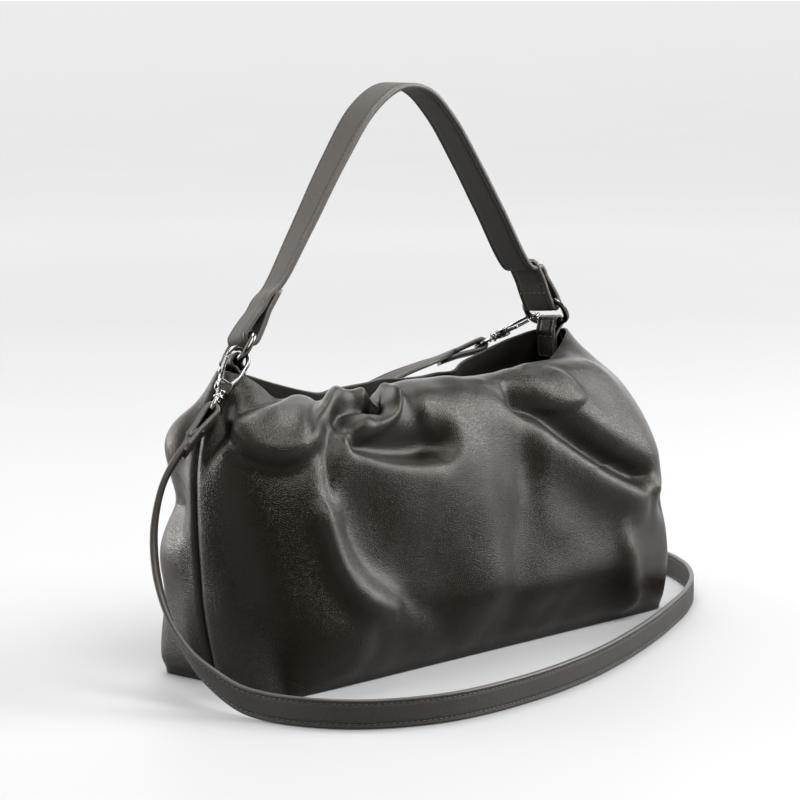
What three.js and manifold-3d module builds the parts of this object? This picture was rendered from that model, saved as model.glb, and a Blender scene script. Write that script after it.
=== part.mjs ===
// A soft crossbody bag with a short handle and a long strap.
// Millimetres, +Z up. X runs along the bag, -Y is its front, the base rests on z = 0.

import * as THREE from "three";
import Module from "manifold-3d";

const wasm = await Module();
wasm.setup();

// Driving sizes

const GAP = 0.3;                 // clearance between neighbouring pieces
const LEATHER = 1.6;             // thickness of the soft walls
const BASE_LEATHER = 2.0;        // thickness of the base
const BASE_INSET = 0.6;          // the base keeps this far inside the walls
const BASE_CORNER = 14;          // radius of the base's corners
const SEAM_Y = 18;               // the side seams stand behind the middle
const REACH = 215;               // wall distance from a panel's middle to a side seam
const TALL = 170;                // wall distance from the base to the top edge

const HANDLE = { width: 21, thick: 3.2, tail: 30, slack: 2.2 };
const STRAP = { width: 15, thick: 2.8, tail: 26, slack: 0.9 };
const TAB = { width: 13, thick: 1.8, tuck: 20, shift: 3.1 };
const RING = { halfWide: 13.4, halfTall: 8.7, wire: 1.8, round: 3 };

const RING_LEFT = { at: [-129, 19, 175], leg: [0.63, 0, 0.78], twist: -23, hookAt: 231 };
const RING_RIGHT = { at: [129, 19, 175.5], leg: [-0.55, 0, 0.83], twist: 7.5, hookAt: 332 };

// Directions from a hook's swivel towards its bow, and across its eye

const HOOK_LEFT = { lie: [0.65, 0.08, 0.755], across: [0.51, 0.69, -0.52] };
const HOOK_RIGHT = { lie: [0.785, -0.44, 0.43], across: [0.57, 0.785, -0.24] };

const HOOK = {
  neck: { radius: 2.4, length: 5.5, bore: 1.7, depth: 4.2 },
  block: { left: -5, right: 4.4, low: 4.5, high: 12.5, thick: 5.2, slot: 2.6, round: 1.2 },
  pivot: { x: -2.4, z: 8.2, pin: 0.9, bore: 1.25, hub: 2.3 },
  bow: { x: 0.3, z: 25.8, radius: 6.2, wire: 1.5, from: -10, to: 190 },
  arm: [[2.4, 9.5], [4.6, 13.4], [5.9, 17.6], [6.35, 21.4]],
  gate: {
    thick: 2.0,
    half: 1.1,
    path: [[-2.4, 8.2], [-4.0, 12], [-5.2, 17.5], [-5.8, 23.4]],
    nub: [-6.0, 14.2],
  },
  ringAt: { x: 1.2, z: 27.3 },
  eye: { halfWide: 9.2, top: -2.4, bar: -10.2, wire: 1.25, stem: 1.35 },
};

// Plan sections of the soft body, one row for each distance up the wall.
// front, back: y of the walls; half: half length; square: how boxy the corners are.

const SECTIONS = [
  { up: 0,   zFront: 0,   zBack: 0,   zSeam: 0,   half: 160, front: -49, back: 49, square: 22 },
  { up: 12,  zFront: 12,  zBack: 11,  zSeam: 12,  half: 161, front: -52, back: 51, square: 14 },
  { up: 40,  zFront: 40,  zBack: 37,  zSeam: 40,  half: 162, front: -56, back: 53, square: 9 },
  { up: 80,  zFront: 79,  zBack: 72,  zSeam: 79,  half: 163, front: -57, back: 53, square: 7 },
  { up: 112, zFront: 111, zBack: 100, zSeam: 111, half: 161, front: -53, back: 52, square: 5.8 },
  { up: 134, zFront: 133, zBack: 118, zSeam: 133, half: 157, front: -44, back: 50, square: 4.2 },
  { up: 150, zFront: 147, zBack: 130, zSeam: 148, half: 151, front: -31, back: 47, square: 3.0 },
  { up: 160, zFront: 150, zBack: 137, zSeam: 157, half: 147, front: -20, back: 44, square: 2.5 },
  { up: 170, zFront: 146, zBack: 143, zSeam: 165, half: 143, front: -9,  back: 42, square: 2.2 },
];

// Where each panel's top edge starts to rise towards the seams

const RISE_FROM = { front: 128, back: 55 };

// The side seams pull the walls in: depth of that crease by height

const SEAM_PULL = [
  { up: 0, depth: 0 },
  { up: 20, depth: 5 },
  { up: 60, depth: 11 },
  { up: 110, depth: 11 },
  { up: 140, depth: 5 },
  { up: 155, depth: 1 },
  { up: 170, depth: 0 },
];
const SEAM_WIDTH = 13;

// Folds: a line on the wall (along, up), how far it stands out (minus for a dent), its spread
// on the left and right of that line, and its strength at the line's start and end.

const FRONT_FOLDS = [
  {
    fold: "left pouch", out: 9, left: 12, right: 8, start: 1, end: 1,
    line: [[-188, 131], [-166, 138], [-148, 140]],
  },
  {
    fold: "behind left pouch", out: -7, left: 8, right: 8, start: 1, end: 0.6,
    line: [[-163, 158], [-180, 142], [-200, 121]],
  },
  {
    fold: "left facet", out: -6, left: 13, right: 13, start: 1, end: 1,
    line: [[-201, 152], [-188, 160]],
  },
  {
    fold: "notch", out: -8, left: 6, right: 6, start: 1, end: 0.3,
    line: [[-136, 162], [-139, 147], [-146, 130]],
  },
  {
    fold: "main ridge", out: 7, left: 9, right: 7, start: 1, end: 0.2,
    line: [[-122, 162], [-131, 150], [-139, 134], [-144, 116], [-142, 84]],
  },
  {
    fold: "hollow", out: -14, left: 10, right: 9, start: 0.8, end: 1,
    line: [[-113, 147], [-100, 146], [-88, 150]],
  },
  {
    fold: "curl", out: 6, left: 7, right: 6, start: 0.7, end: 0.6,
    line: [[-96, 158], [-80, 160], [-74, 150], [-80, 141], [-98, 134], [-116, 130]],
  },
  {
    fold: "gather", out: -6, left: 6, right: 6, start: 1, end: 1,
    line: [[-130, 134], [-124, 131]],
  },
  {
    fold: "long crease", out: -6, left: 12, right: 6, start: 1, end: 0,
    line: [[-134, 133], [-136, 115], [-132, 84], [-122, 54]],
  },
  {
    fold: "eye pocket", out: -11, left: 10, right: 9, start: 0.6, end: 1,
    line: [[-116, 130], [-90, 127], [-60, 125]],
  },
  {
    fold: "eye rim", out: 3.5, left: 8, right: 8, start: 0.4, end: 0.6,
    line: [[-72, 142], [-50, 136], [-39, 123], [-50, 111], [-70, 110]],
  },
  {
    fold: "top roll", out: 3, left: 9, right: 9, start: 1, end: 1,
    line: [[-66, 160], [-20, 156], [16, 147]],
  },
  {
    fold: "long ridge", out: 7, left: 10, right: 18, start: 0.5, end: 0.6,
    line: [[16, 146], [36, 137], [56, 115], [88, 97], [122, 85], [144, 80]],
  },
  {
    fold: "long valley", out: -11, left: 12, right: 9, start: 0.8, end: 0.8,
    line: [[34, 148], [60, 126], [91, 111], [119, 92], [134, 86]],
  },
  {
    fold: "right lobe", out: 5, left: 12, right: 12, start: 0.6, end: 1,
    line: [[66, 150], [105, 152], [140, 143]],
  },
  {
    fold: "lobe dent", out: -4, left: 6, right: 6, start: 1, end: 1,
    line: [[82, 140], [92, 139], [88, 132]],
  },
  {
    fold: "right knuckle", out: 2, left: 9, right: 9, start: 1, end: 1,
    line: [[146, 80], [152, 78]],
  },
  {
    fold: "under knuckle", out: -4, left: 7, right: 7, start: 1, end: 1,
    line: [[132, 72], [150, 66]],
  },
  {
    fold: "low ridge", out: 3.5, left: 16, right: 8, start: 0.5, end: 1,
    line: [[-15, 19], [46, 36], [80, 46], [104, 50]],
  },
  {
    fold: "low right fold", out: 3, left: 8, right: 8, start: 1, end: 0.4,
    line: [[114, 46], [122, 28], [128, 9]],
  },
  {
    fold: "corner dart", out: -3, left: 6, right: 6, start: 0.6, end: 0,
    line: [[-150, 4], [-138, 10], [-124, 16]],
  },
  {
    fold: "belly swell", out: 3, left: 20, right: 20, start: 1, end: 0.6,
    line: [[8, 122], [6, 86], [0, 60]],
  },
  {
    fold: "belly dip", out: -3, left: 18, right: 18, start: 1, end: 1,
    line: [[-36, 96], [-28, 60]],
  },
  {
    fold: "left swell", out: 3, left: 20, right: 20, start: 1, end: 1,
    line: [[-86, 80], [-66, 52], [-46, 36]],
  },
];

const BACK_FOLDS = [
  {
    fold: "left upper swell", out: 9, left: 13, right: 13, start: 1, end: 0.4,
    line: [[-190, 135], [-164, 133]],
  },
  {
    fold: "left pinch", out: -7, left: 10, right: 10, start: 1, end: 0.2,
    line: [[-196, 97], [-172, 100], [-140, 106]],
  },
  {
    fold: "left lower swell", out: 5, left: 14, right: 14, start: 1, end: 0.6,
    line: [[-186, 72], [-164, 70]],
  },
  {
    fold: "right pinch", out: -6, left: 12, right: 12, start: 1, end: 0.2,
    line: [[196, 112], [168, 116], [136, 124]],
  },
  {
    fold: "right lower swell", out: 4, left: 15, right: 15, start: 1, end: 0.6,
    line: [[182, 78], [162, 74]],
  },
  {
    fold: "inside fold", out: -4, left: 9, right: 9, start: 1, end: 0.2,
    line: [[92, 168], [86, 140], [84, 104]],
  },
  {
    fold: "left drape", out: -4, left: 14, right: 14, start: 1, end: 0.2,
    line: [[-70, 164], [-62, 128], [-66, 84]],
  },
  {
    fold: "middle drape", out: 3, left: 18, right: 18, start: 1, end: 0.3,
    line: [[14, 166], [8, 130], [14, 88]],
  },
  {
    fold: "low sag", out: 3, left: 14, right: 14, start: 0.6, end: 0.6,
    line: [[-90, 28], [0, 36], [96, 26]],
  },
];

// The handle's arch over the bag, between the two folded ends

const HANDLE_ARCH = [
  { x: -103, z: 206 },
  { x: -82, z: 234 },
  { x: -54, z: 273 },
  { x: -31, z: 299.5 },
  { x: -9, z: 311 },
  { x: 13, z: 309 },
  { x: 33, z: 294 },
  { x: 57, z: 265 },
  { x: 77, z: 238 },
  { x: 104, z: 203 },
];

// The strap's way from the left hook down to the floor, round the front and the right end,
// along the back and up to the right hook

const STRAP_ROUTE = [
  [-171, 9, 135],
  [-181, 11, 125],
  [-190, 13, 112],
  [-196, 13, 97],
  [-200, 11, 82],
  [-204, 4, 62],
  [-206.5, -8, 42],
  [-207, -24, 26],
  [-206, -41, 16],
  [-205, -56, 10.3],
  [-203, -70, 8.2],
  [-198, -92, 7.8],
  [-189, -110, 7.8],
  [-177, -123, 7.8],
  [-159, -134, 7.8],
  [-139, -141, 7.8],
  [-112, -144, 7.8],
  [-66, -142, 7.8],
  [-20, -134, 7.8],
  [26, -121, 7.8],
  [72, -104.5, 7.8],
  [116, -86, 7.8],
  [156, -67, 7.8],
  [194, -43, 7.8],
  [226, -12, 7.8],
  [245, 22, 7.8],
  [238, 54, 7.8],
  [205, 76, 7.6],
  [160, 84.5, 6.5],
  [112, 86, 4.6],
  [66, 85, 3.1],
  [20, 82.6, 8.5],
  [-10, 80, 27],
  [-22, 77, 48],
  [-26, 74, 72],
  [-22, 71, 96],
  [-10, 66, 117],
  [8, 60, 132],
  [32, 54.5, 142],
  [58, 51, 148],
];

// Which way the strap's width points, by its place in the route

const STRAP_TURN = [
  { at: 0, across: [0.62, 0.7, -0.35] },
  { at: 4, across: [0.74, 0.67, 0] },
  { at: 6.6, across: [0.66, 0.3, 0.69] },
  { at: 10, across: [0, 0, 1] },
  { at: 26, across: [0, 0, 1] },
  { at: 30, across: [0, -1, 0.2] },
  { at: 31, across: [0, -1, 0] },
  { at: 37, across: [0, -1, 0] },
  { at: 39, across: [-0.4, -0.9, 0.1] },
];

const FINISH = {
  leather: { color: 0x2b2a28, roughness: 0.45, metalness: 0 },
  strapLeather: { color: 0x262523, roughness: 0.5, metalness: 0 },
  gunmetal: { color: 0x5a5650, roughness: 0.25, metalness: 1 },
  nickel: { color: 0xb4b4b4, roughness: 0.2, metalness: 1 },
};

// Small helpers

const vec = (a) => new THREE.Vector3(a[0], a[1], a[2]);
const mix = (a, b, t) => a + (b - a) * t;
const turn = (degrees) => THREE.MathUtils.degToRad(degrees);

function ease(from, to, x) {
  const t = THREE.MathUtils.clamp((x - from) / (to - from), 0, 1);
  return t * t * (3 - 2 * t);
}

// A curve through a table's rows that never overshoots them.
function through(rows, key, value) {
  const x = rows.map((r) => r[key]);
  const y = rows.map((r) => r[value]);
  const n = x.length;
  const h = [];
  const d = [];
  for (let i = 0; i < n - 1; i += 1) {
    h.push(x[i + 1] - x[i]);
    d.push((y[i + 1] - y[i]) / h[i]);
  }
  const m = y.map((_, i) => {
    if (i === 0) return d[0];
    if (i === n - 1) return d[n - 2];
    if (d[i - 1] * d[i] <= 0) return 0;
    const a = 2 * h[i] + h[i - 1];
    const b = h[i] + 2 * h[i - 1];
    return (a + b) / (a / d[i - 1] + b / d[i]);
  });
  return (at) => {
    let i = 0;
    while (i < n - 2 && at > x[i + 1]) i += 1;
    const t = THREE.MathUtils.clamp((at - x[i]) / h[i], 0, 1);
    const t2 = t * t;
    const t3 = t2 * t;
    return (2 * t3 - 3 * t2 + 1) * y[i] + (t3 - 2 * t2 + t) * h[i] * m[i]
      + (3 * t2 - 2 * t3) * y[i + 1] + (t3 - t2) * h[i] * m[i + 1];
  };
}

// A closed geometry from points and triangles, turned to face outwards.
function closedBody(points, triangles) {
  let volume = 0;
  for (const [a, b, c] of triangles) {
    const cross = new THREE.Vector3().crossVectors(points[b], points[c]);
    volume += points[a].dot(cross);
  }
  const index = volume < 0 ? triangles.map(([a, b, c]) => [a, c, b]) : triangles;
  const geometry = new THREE.BufferGeometry();
  const values = points.flatMap((p) => p.toArray());
  geometry.setAttribute("position", new THREE.Float32BufferAttribute(values, 3));
  geometry.setIndex(index.flat());
  return geometry;
}

// Sweeps a convex outline of [across, through] pairs along stations {at, across, through}.
function sweep(stations, outline, isLoop = false) {
  const points = [];
  const triangles = [];
  const sides = outline.length;
  for (const s of stations) {
    for (const [a, t] of outline) {
      points.push(s.at.clone().addScaledVector(s.across, a).addScaledVector(s.through, t));
    }
  }
  const rings = stations.length;
  const spans = isLoop ? rings : rings - 1;
  for (let i = 0; i < spans; i += 1) {
    const next = (i + 1) % rings;
    for (let k = 0; k < sides; k += 1) {
      const l = (k + 1) % sides;
      triangles.push([i * sides + k, i * sides + l, next * sides + l]);
      triangles.push([i * sides + k, next * sides + l, next * sides + k]);
    }
  }
  if (!isLoop) {
    for (let k = 1; k < sides - 1; k += 1) {
      triangles.push([0, k + 1, k]);
      const last = (rings - 1) * sides;
      triangles.push([last, last + k, last + k + 1]);
    }
  }
  return closedBody(points, triangles);
}

function roundOutline(radius, sides) {
  const outline = [];
  for (let k = 0; k < sides; k += 1) {
    const a = (2 * Math.PI * k) / sides;
    outline.push([radius * Math.cos(a), radius * Math.sin(a)]);
  }
  return outline;
}

// A strip's section: a flat rectangle with trimmed corners.
function stripOutline(width, thick) {
  const w = width / 2;
  const t = thick / 2;
  const c = thick * 0.28;
  const half = [[-w + c, -t], [w - c, -t], [w, -t + c], [w, t - c]];
  return [...half, ...half.map(([a, b]) => [-a, -b])];
}

// Stations of a round wire along points.
function wireStations(points, isLoop, side) {
  const n = points.length;
  return points.map((p, i) => {
    const before = isLoop ? points[(i + n - 1) % n] : points[Math.max(i - 1, 0)];
    const after = isLoop ? points[(i + 1) % n] : points[Math.min(i + 1, n - 1)];
    const along = after.clone().sub(before).normalize();
    const through_ = new THREE.Vector3().crossVectors(along, side).normalize();
    const across = new THREE.Vector3().crossVectors(through_, along).normalize();
    return { at: p, across, through: through_ };
  });
}

// Stations of a flat strip along rows {at, across}.
function stripStations(rows) {
  return rows.map((r, i) => {
    const before = rows[Math.max(i - 1, 0)].at;
    const after = rows[Math.min(i + 1, rows.length - 1)].at;
    const along = after.clone().sub(before).normalize();
    const across = r.across.clone().addScaledVector(along, -r.across.dot(along)).normalize();
    const through_ = new THREE.Vector3().crossVectors(along, across).normalize();
    return { at: r.at, across, through: through_ };
  });
}

function toSolid(geometry) {
  const mesh = new wasm.Mesh({
    numProp: 3,
    vertProperties: Float32Array.from(geometry.attributes.position.array),
    triVerts: Uint32Array.from(geometry.index.array),
  });
  return new wasm.Manifold(mesh);
}

function fromSolid(solid) {
  const mesh = solid.getMesh();
  const geometry = new THREE.BufferGeometry();
  geometry.setAttribute("position", new THREE.Float32BufferAttribute(mesh.vertProperties, 3));
  geometry.setIndex(Array.from(mesh.triVerts));
  return geometry;
}

const joined = (list) => fromSolid(list.map(toSolid).reduce((a, b) => a.add(b)));

function cutBy(body, tools) {
  const left = tools.map(toSolid).reduce((a, b) => a.subtract(b), toSolid(body));
  return fromSolid(left);
}

// The soft walls

const column = Object.fromEntries(
  Object.keys(SECTIONS[0]).map((name) => [name, through(SECTIONS, "up", name)]),
);
const seamPull = through(SEAM_PULL, "up", "depth");

// One level of a panel's plan: points from the left seam to the right seam by equal lengths.
function planLevel(panel, up) {
  const half = column.half(up);
  const square = column.square(up);
  const depth = panel === "front" ? column.front(up) - SEAM_Y : column.back(up) - SEAM_Y;
  const steps = 720;
  const walk = [];
  let run = 0;
  for (let i = 0; i <= steps; i += 1) {
    const a = (Math.PI * i) / steps;
    const c = Math.cos(a);
    const s = Math.sin(a);
    const r = (Math.abs(c) ** square + Math.abs(s) ** square) ** (-1 / square);
    const x = -half * c * r;
    const y = SEAM_Y + depth * s * r;
    if (i > 0) run += Math.hypot(x - walk[i - 1].x, y - walk[i - 1].y);
    walk.push({ x, y, run });
  }
  return (along) => {
    const wanted = ((along / REACH + 1) / 2) * run;
    let low = 0;
    let high = steps;
    while (high - low > 1) {
      const middle = (low + high) >> 1;
      if (walk[middle].run > wanted) high = middle;
      else low = middle;
    }
    const t = (wanted - walk[low].run) / (walk[high].run - walk[low].run);
    return [mix(walk[low].x, walk[high].x, t), mix(walk[low].y, walk[high].y, t)];
  };
}

const levels = new Map();

function plainWall(panel, along, up) {
  const key = `${panel} ${up}`;
  if (!levels.has(key)) levels.set(key, planLevel(panel, up));
  const [x, y] = levels.get(key)(along);
  const middle = panel === "front" ? column.zFront(up) : column.zBack(up);
  const rise = ease(RISE_FROM[panel], REACH, Math.abs(along));
  return new THREE.Vector3(x, y, mix(middle, column.zSeam(up), rise));
}

// A fold's line as a smooth curve of short straight runs.
function foldLine(line) {
  const points = line.map(([along, up]) => new THREE.Vector3(along, up, 0));
  return new THREE.CatmullRomCurve3(points, false, "catmullrom", 0.5).getPoints(20);
}

function foldOut(fold, along, up) {
  const pts = fold.points;
  let best = Infinity;
  let place = 0;
  let isLeft = true;
  for (let i = 0; i < pts.length - 1; i += 1) {
    const dx = pts[i + 1].x - pts[i].x;
    const dy = pts[i + 1].y - pts[i].y;
    const reach = ((along - pts[i].x) * dx + (up - pts[i].y) * dy) / (dx * dx + dy * dy);
    const t = THREE.MathUtils.clamp(reach, 0, 1);
    const x = along - pts[i].x - t * dx;
    const y = up - pts[i].y - t * dy;
    const far = Math.hypot(x, y);
    if (far < best) {
      best = far;
      place = (i + t) / (pts.length - 1);
      isLeft = dx * y - dy * x > 0;
    }
  }
  const spread = isLeft ? fold.left : fold.right;
  return fold.out * mix(fold.start, fold.end, place) * Math.exp(-((best / spread) ** 2));
}

function wallPanel(panel, folds, across, tall) {
  const lines = folds.map((f) => ({ ...f, points: foldLine(f.line) }));
  const edge = REACH - GAP;
  const outer = [];
  const inner = [];
  const small = 0.5;
  for (let j = 0; j <= tall; j += 1) {
    const up = (TALL * j) / tall;
    for (let i = 0; i <= across; i += 1) {
      const along = mix(-edge, edge, i / across);
      const p = plainWall(panel, along, up);
      const dAlong = plainWall(panel, along + small, up).sub(plainWall(panel, along - small, up));
      const above = plainWall(panel, along, Math.min(up + small, TALL));
      const dUp = above.sub(plainWall(panel, along, Math.max(up - small, 0)));
      const normal = new THREE.Vector3().crossVectors(dAlong, dUp).normalize();
      if (panel === "back") normal.negate();
      const fromSeam = REACH - Math.abs(along);
      const hold = ease(0, 16, fromSeam) * ease(0, 9, up);
      let out = -seamPull(up) * Math.exp(-((fromSeam / SEAM_WIDTH) ** 2));
      for (const fold of lines) out += hold * foldOut(fold, along, up);
      outer.push(p.clone().addScaledVector(normal, out));
      inner.push(p.clone().addScaledVector(normal, out - LEATHER));
    }
  }
  for (let i = 0; i <= across; i += 1) {
    outer[i].z = 0;
    inner[i].z = 0;
  }
  const points = [...outer, ...inner];
  const row = across + 1;
  const back = outer.length;
  const triangles = [];
  const quad = (a, b, c, d) => triangles.push([a, b, c], [a, c, d]);
  for (let j = 0; j < tall; j += 1) {
    for (let i = 0; i < across; i += 1) {
      const a = j * row + i;
      quad(a, a + 1, a + row + 1, a + row);
      quad(back + a, back + a + row, back + a + row + 1, back + a + 1);
    }
  }
  for (let i = 0; i < across; i += 1) {
    const top = tall * row + i;
    quad(i + 1, i, back + i, back + i + 1);
    quad(top, top + 1, back + top + 1, back + top);
  }
  for (let j = 0; j < tall; j += 1) {
    const left = j * row;
    const right = left + across;
    quad(left, left + row, back + left + row, back + left);
    quad(right + row, right, back + right, back + right + row);
  }
  return closedBody(points, triangles);
}

// The base: a flat sheet with rounded corners, inside the walls.
function basePanel() {
  const inset = LEATHER + BASE_INSET;
  const { half, front, back } = SECTIONS[0];
  const sheet = roundedPlate(inset - half, half - inset, front + inset, back - inset, BASE_CORNER);
  const options = { depth: BASE_LEATHER, bevelEnabled: false, curveSegments: 8 };
  return new THREE.ExtrudeGeometry(sheet, options);
}

// Rings: w runs along the bars, leg points up into the handle

function ringFrame(spec) {
  const leg = vec(spec.leg).normalize();
  const side = new THREE.Vector3().crossVectors(leg, new THREE.Vector3(0, 1, 0)).normalize();
  const a = turn(spec.twist);
  const bar = new THREE.Vector3(0, Math.cos(a), 0).addScaledVector(side, Math.sin(a)).normalize();
  return { at: vec(spec.at), leg, bar };
}

function ringPoint(frame, degrees) {
  const c = Math.cos(turn(degrees));
  const s = Math.sin(turn(degrees));
  const r = (Math.abs(c) ** RING.round + Math.abs(s) ** RING.round) ** (-1 / RING.round);
  return frame.at.clone()
    .addScaledVector(frame.bar, RING.halfWide * c * r)
    .addScaledVector(frame.leg, RING.halfTall * s * r);
}

function ringBody(frame) {
  const points = [];
  const steps = 48;
  for (let i = 0; i < steps; i += 1) points.push(ringPoint(frame, (360 * i) / steps));
  const normal = new THREE.Vector3().crossVectors(frame.bar, frame.leg);
  return sweep(wireStations(points, true, normal), roundOutline(RING.wire, 10), true);
}

// Rows of a strip folded round a bar, from its tail to the start of its main run.
// out points from the bar into the strip, face from the tail's layer to the main layer.
function foldedEnd({ bar, across, out, face, radius, thick, tail, slack }) {
  const rows = [];
  const near = (thick + GAP) / 2;
  const place = (o, f) => bar.clone().addScaledVector(out, o).addScaledVector(face, f);
  const opening = mix(near, radius, 0.6);
  for (const [o, f] of [[1, near], [0.75, near], [0.5, near * 1.05], [0.26, opening]]) {
    rows.push({ at: place(tail * o, -f), across });
  }
  for (let k = 0; k <= 8; k += 1) {
    const a = turn(180 + (180 * k) / 8);
    rows.push({ at: place(radius * Math.sin(a) - slack, radius * Math.cos(a)), across });
  }
  for (const [o, f] of [[0.26, opening], [0.5, near * 1.05], [0.75, near]]) {
    rows.push({ at: place(tail * o, f), across });
  }
  return rows;
}

function handleBody(left, right) {
  const radius = RING.wire + GAP + HANDLE.thick / 2;
  const end = (ring) => {
    const face = new THREE.Vector3().crossVectors(ring.leg, ring.bar).normalize();
    if (face.z < 0) face.negate();
    const rows = foldedEnd({
      bar: ringPoint(ring, 90),
      across: ring.bar,
      out: ring.leg,
      face,
      radius,
      thick: HANDLE.thick,
      tail: HANDLE.tail,
      slack: HANDLE.slack,
    });
    return { rows, face };
  };
  const from = end(left);
  const to = end(right);
  const arch = HANDLE_ARCH.map(({ x, z }) => new THREE.Vector3(x, SEAM_Y + 1, z));
  const start = from.rows.at(-1).at;
  const stop = to.rows.at(-1).at;
  const curve = new THREE.CatmullRomCurve3([start, ...arch, stop], false, "centripetal");
  const steps = 34;
  const middle = [];
  for (let i = 1; i < steps; i += 1) {
    const t = i / steps;
    const across = new THREE.Vector3(0, 1, 0);
    if (t < 0.5) across.lerp(left.bar, 1 - ease(0, 0.42, t));
    else across.lerp(right.bar, ease(0.58, 1, t));
    middle.push({ at: curve.getPoint(t), across });
  }
  const rows = [...from.rows, ...middle, ...to.rows.slice().reverse()];
  return sweep(stripStations(rows), stripOutline(HANDLE.width, HANDLE.thick));
}

// A tab folded over a ring's lower bar, both layers going down inside the seam's top.
function tabBody(ring, inward) {
  const bar = ringPoint(ring, 270);
  const radius = RING.wire + 3 * GAP + TAB.thick / 2;
  const near = (TAB.thick + GAP) / 2;
  const side = new THREE.Vector3(inward, 0, 0);
  const straight = new THREE.Vector3(0, 1, 0);
  const place = (inside, z) => ({
    at: bar.clone().addScaledVector(side, inside).add(new THREE.Vector3(0, 0, z)),
    across: ring.bar.clone().lerp(straight, ease(-3, -9, z)),
  });
  const shift = TAB.shift;
  const rows = [1, 0.65, 0.4].map((t) => place(near + shift, -TAB.tuck * t));
  rows.push(place(mix(near, radius, 0.6) + shift * 0.7, -4));
  for (let k = 0; k <= 8; k += 1) {
    const a = turn(-10 + (200 * k) / 8);
    rows.push(place(radius * Math.cos(a), radius * Math.sin(a)));
  }
  rows.push(place(shift * 0.7 - mix(near, radius, 0.6), -4));
  rows.push(...[0.4, 0.65, 1].map((t) => place(shift - near, -TAB.tuck * t)));
  return sweep(stripStations(rows), stripOutline(TAB.width, TAB.thick));
}

// Hooks: local x towards the bow's arm, y through the thickness, z from swivel to bow

function hookFrame(ring, spec, hookAt) {
  const lie = vec(spec.lie).normalize();
  const wireAhead = ringPoint(ring, hookAt + 2).sub(ringPoint(ring, hookAt - 2)).normalize();
  const thick = wireAhead.addScaledVector(lie, -wireAhead.dot(lie)).normalize();
  const side = new THREE.Vector3().crossVectors(thick, lie).normalize();
  const at = ringPoint(ring, hookAt)
    .addScaledVector(side, -HOOK.ringAt.x)
    .addScaledVector(lie, -HOOK.ringAt.z);
  const across = vec(spec.across).addScaledVector(lie, -vec(spec.across).dot(lie)).normalize();
  const matrix = new THREE.Matrix4().makeBasis(side, thick, lie).setPosition(at);
  return { at, side, thick, lie, across, matrix };
}

// A plate in the hook's x-z plane, centred on y = 0.
function plate(shape, thick) {
  const options = { depth: thick, bevelEnabled: false, curveSegments: 10 };
  const geometry = new THREE.ExtrudeGeometry(shape, options);
  geometry.translate(0, 0, -thick / 2);
  geometry.rotateX(Math.PI / 2);
  const count = geometry.attributes.position.count;
  const seen = new Map();
  const points = [];
  const index = [];
  for (let i = 0; i < count; i += 1) {
    const p = new THREE.Vector3().fromBufferAttribute(geometry.attributes.position, i);
    const key = p.toArray().map((v) => v.toFixed(4)).join(" ");
    if (!seen.has(key)) {
      seen.set(key, points.length);
      points.push(p);
    }
    index.push(seen.get(key));
  }
  const triangles = [];
  for (let i = 0; i < index.length; i += 3) triangles.push(index.slice(i, i + 3));
  return closedBody(points, triangles);
}

function roundedPlate(left, right, low, high, round) {
  const shape = new THREE.Shape();
  shape.moveTo(left + round, low);
  shape.lineTo(right - round, low);
  shape.absarc(right - round, low + round, round, -Math.PI / 2, 0);
  shape.lineTo(right, high - round);
  shape.absarc(right - round, high - round, round, 0, Math.PI / 2);
  shape.lineTo(left + round, high);
  shape.absarc(left + round, high - round, round, Math.PI / 2, Math.PI);
  shape.lineTo(left, low + round);
  shape.absarc(left + round, low + round, round, Math.PI, 1.5 * Math.PI);
  return shape;
}

function disc(x, z, radius, hole = 0) {
  const shape = new THREE.Shape();
  shape.absarc(x, z, radius, 0, 2 * Math.PI);
  if (hole > 0) {
    const bore = new THREE.Path();
    bore.absarc(x, z, hole, 0, 2 * Math.PI, true);
    shape.holes.push(bore);
  }
  return shape;
}

// A round bar along the hook's z.
function barAlong(radius, low, high, sides = 16) {
  const stations = [low, high].map((z) => ({
    at: new THREE.Vector3(0, 0, z),
    across: new THREE.Vector3(1, 0, 0),
    through: new THREE.Vector3(0, 1, 0),
  }));
  return sweep(stations, roundOutline(radius, sides));
}

function hookBody() {
  const { neck, block, pivot, bow, arm } = HOOK;
  const flat = ([x, z]) => new THREE.Vector3(x, 0, z);
  const points = arm.map(flat);
  const steps = 18;
  for (let i = 0; i <= steps; i += 1) {
    const a = turn(mix(bow.from, bow.to, i / steps));
    points.push(flat([bow.x + bow.radius * Math.cos(a), bow.z + bow.radius * Math.sin(a)]));
  }
  const y = new THREE.Vector3(0, 1, 0);
  const wire = sweep(wireStations(points, false, y), roundOutline(bow.wire, 10));
  const face = roundedPlate(block.left, block.right, block.low, block.high, block.round);
  const cheeks = plate(face, block.thick);
  const whole = joined([cheeks, wire, barAlong(neck.radius, 0, neck.length)]);
  const mouth = roundedPlate(block.left - 4, 1.4, block.low + 0.9, block.high + 4, 0.5);
  const slot = plate(mouth, block.slot);
  const bored = cutBy(whole, [slot, barAlong(neck.bore, -1, neck.depth)]);
  return joined([bored, plate(disc(pivot.x, pivot.z, pivot.pin), block.thick + 0.6)]);
}

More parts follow.
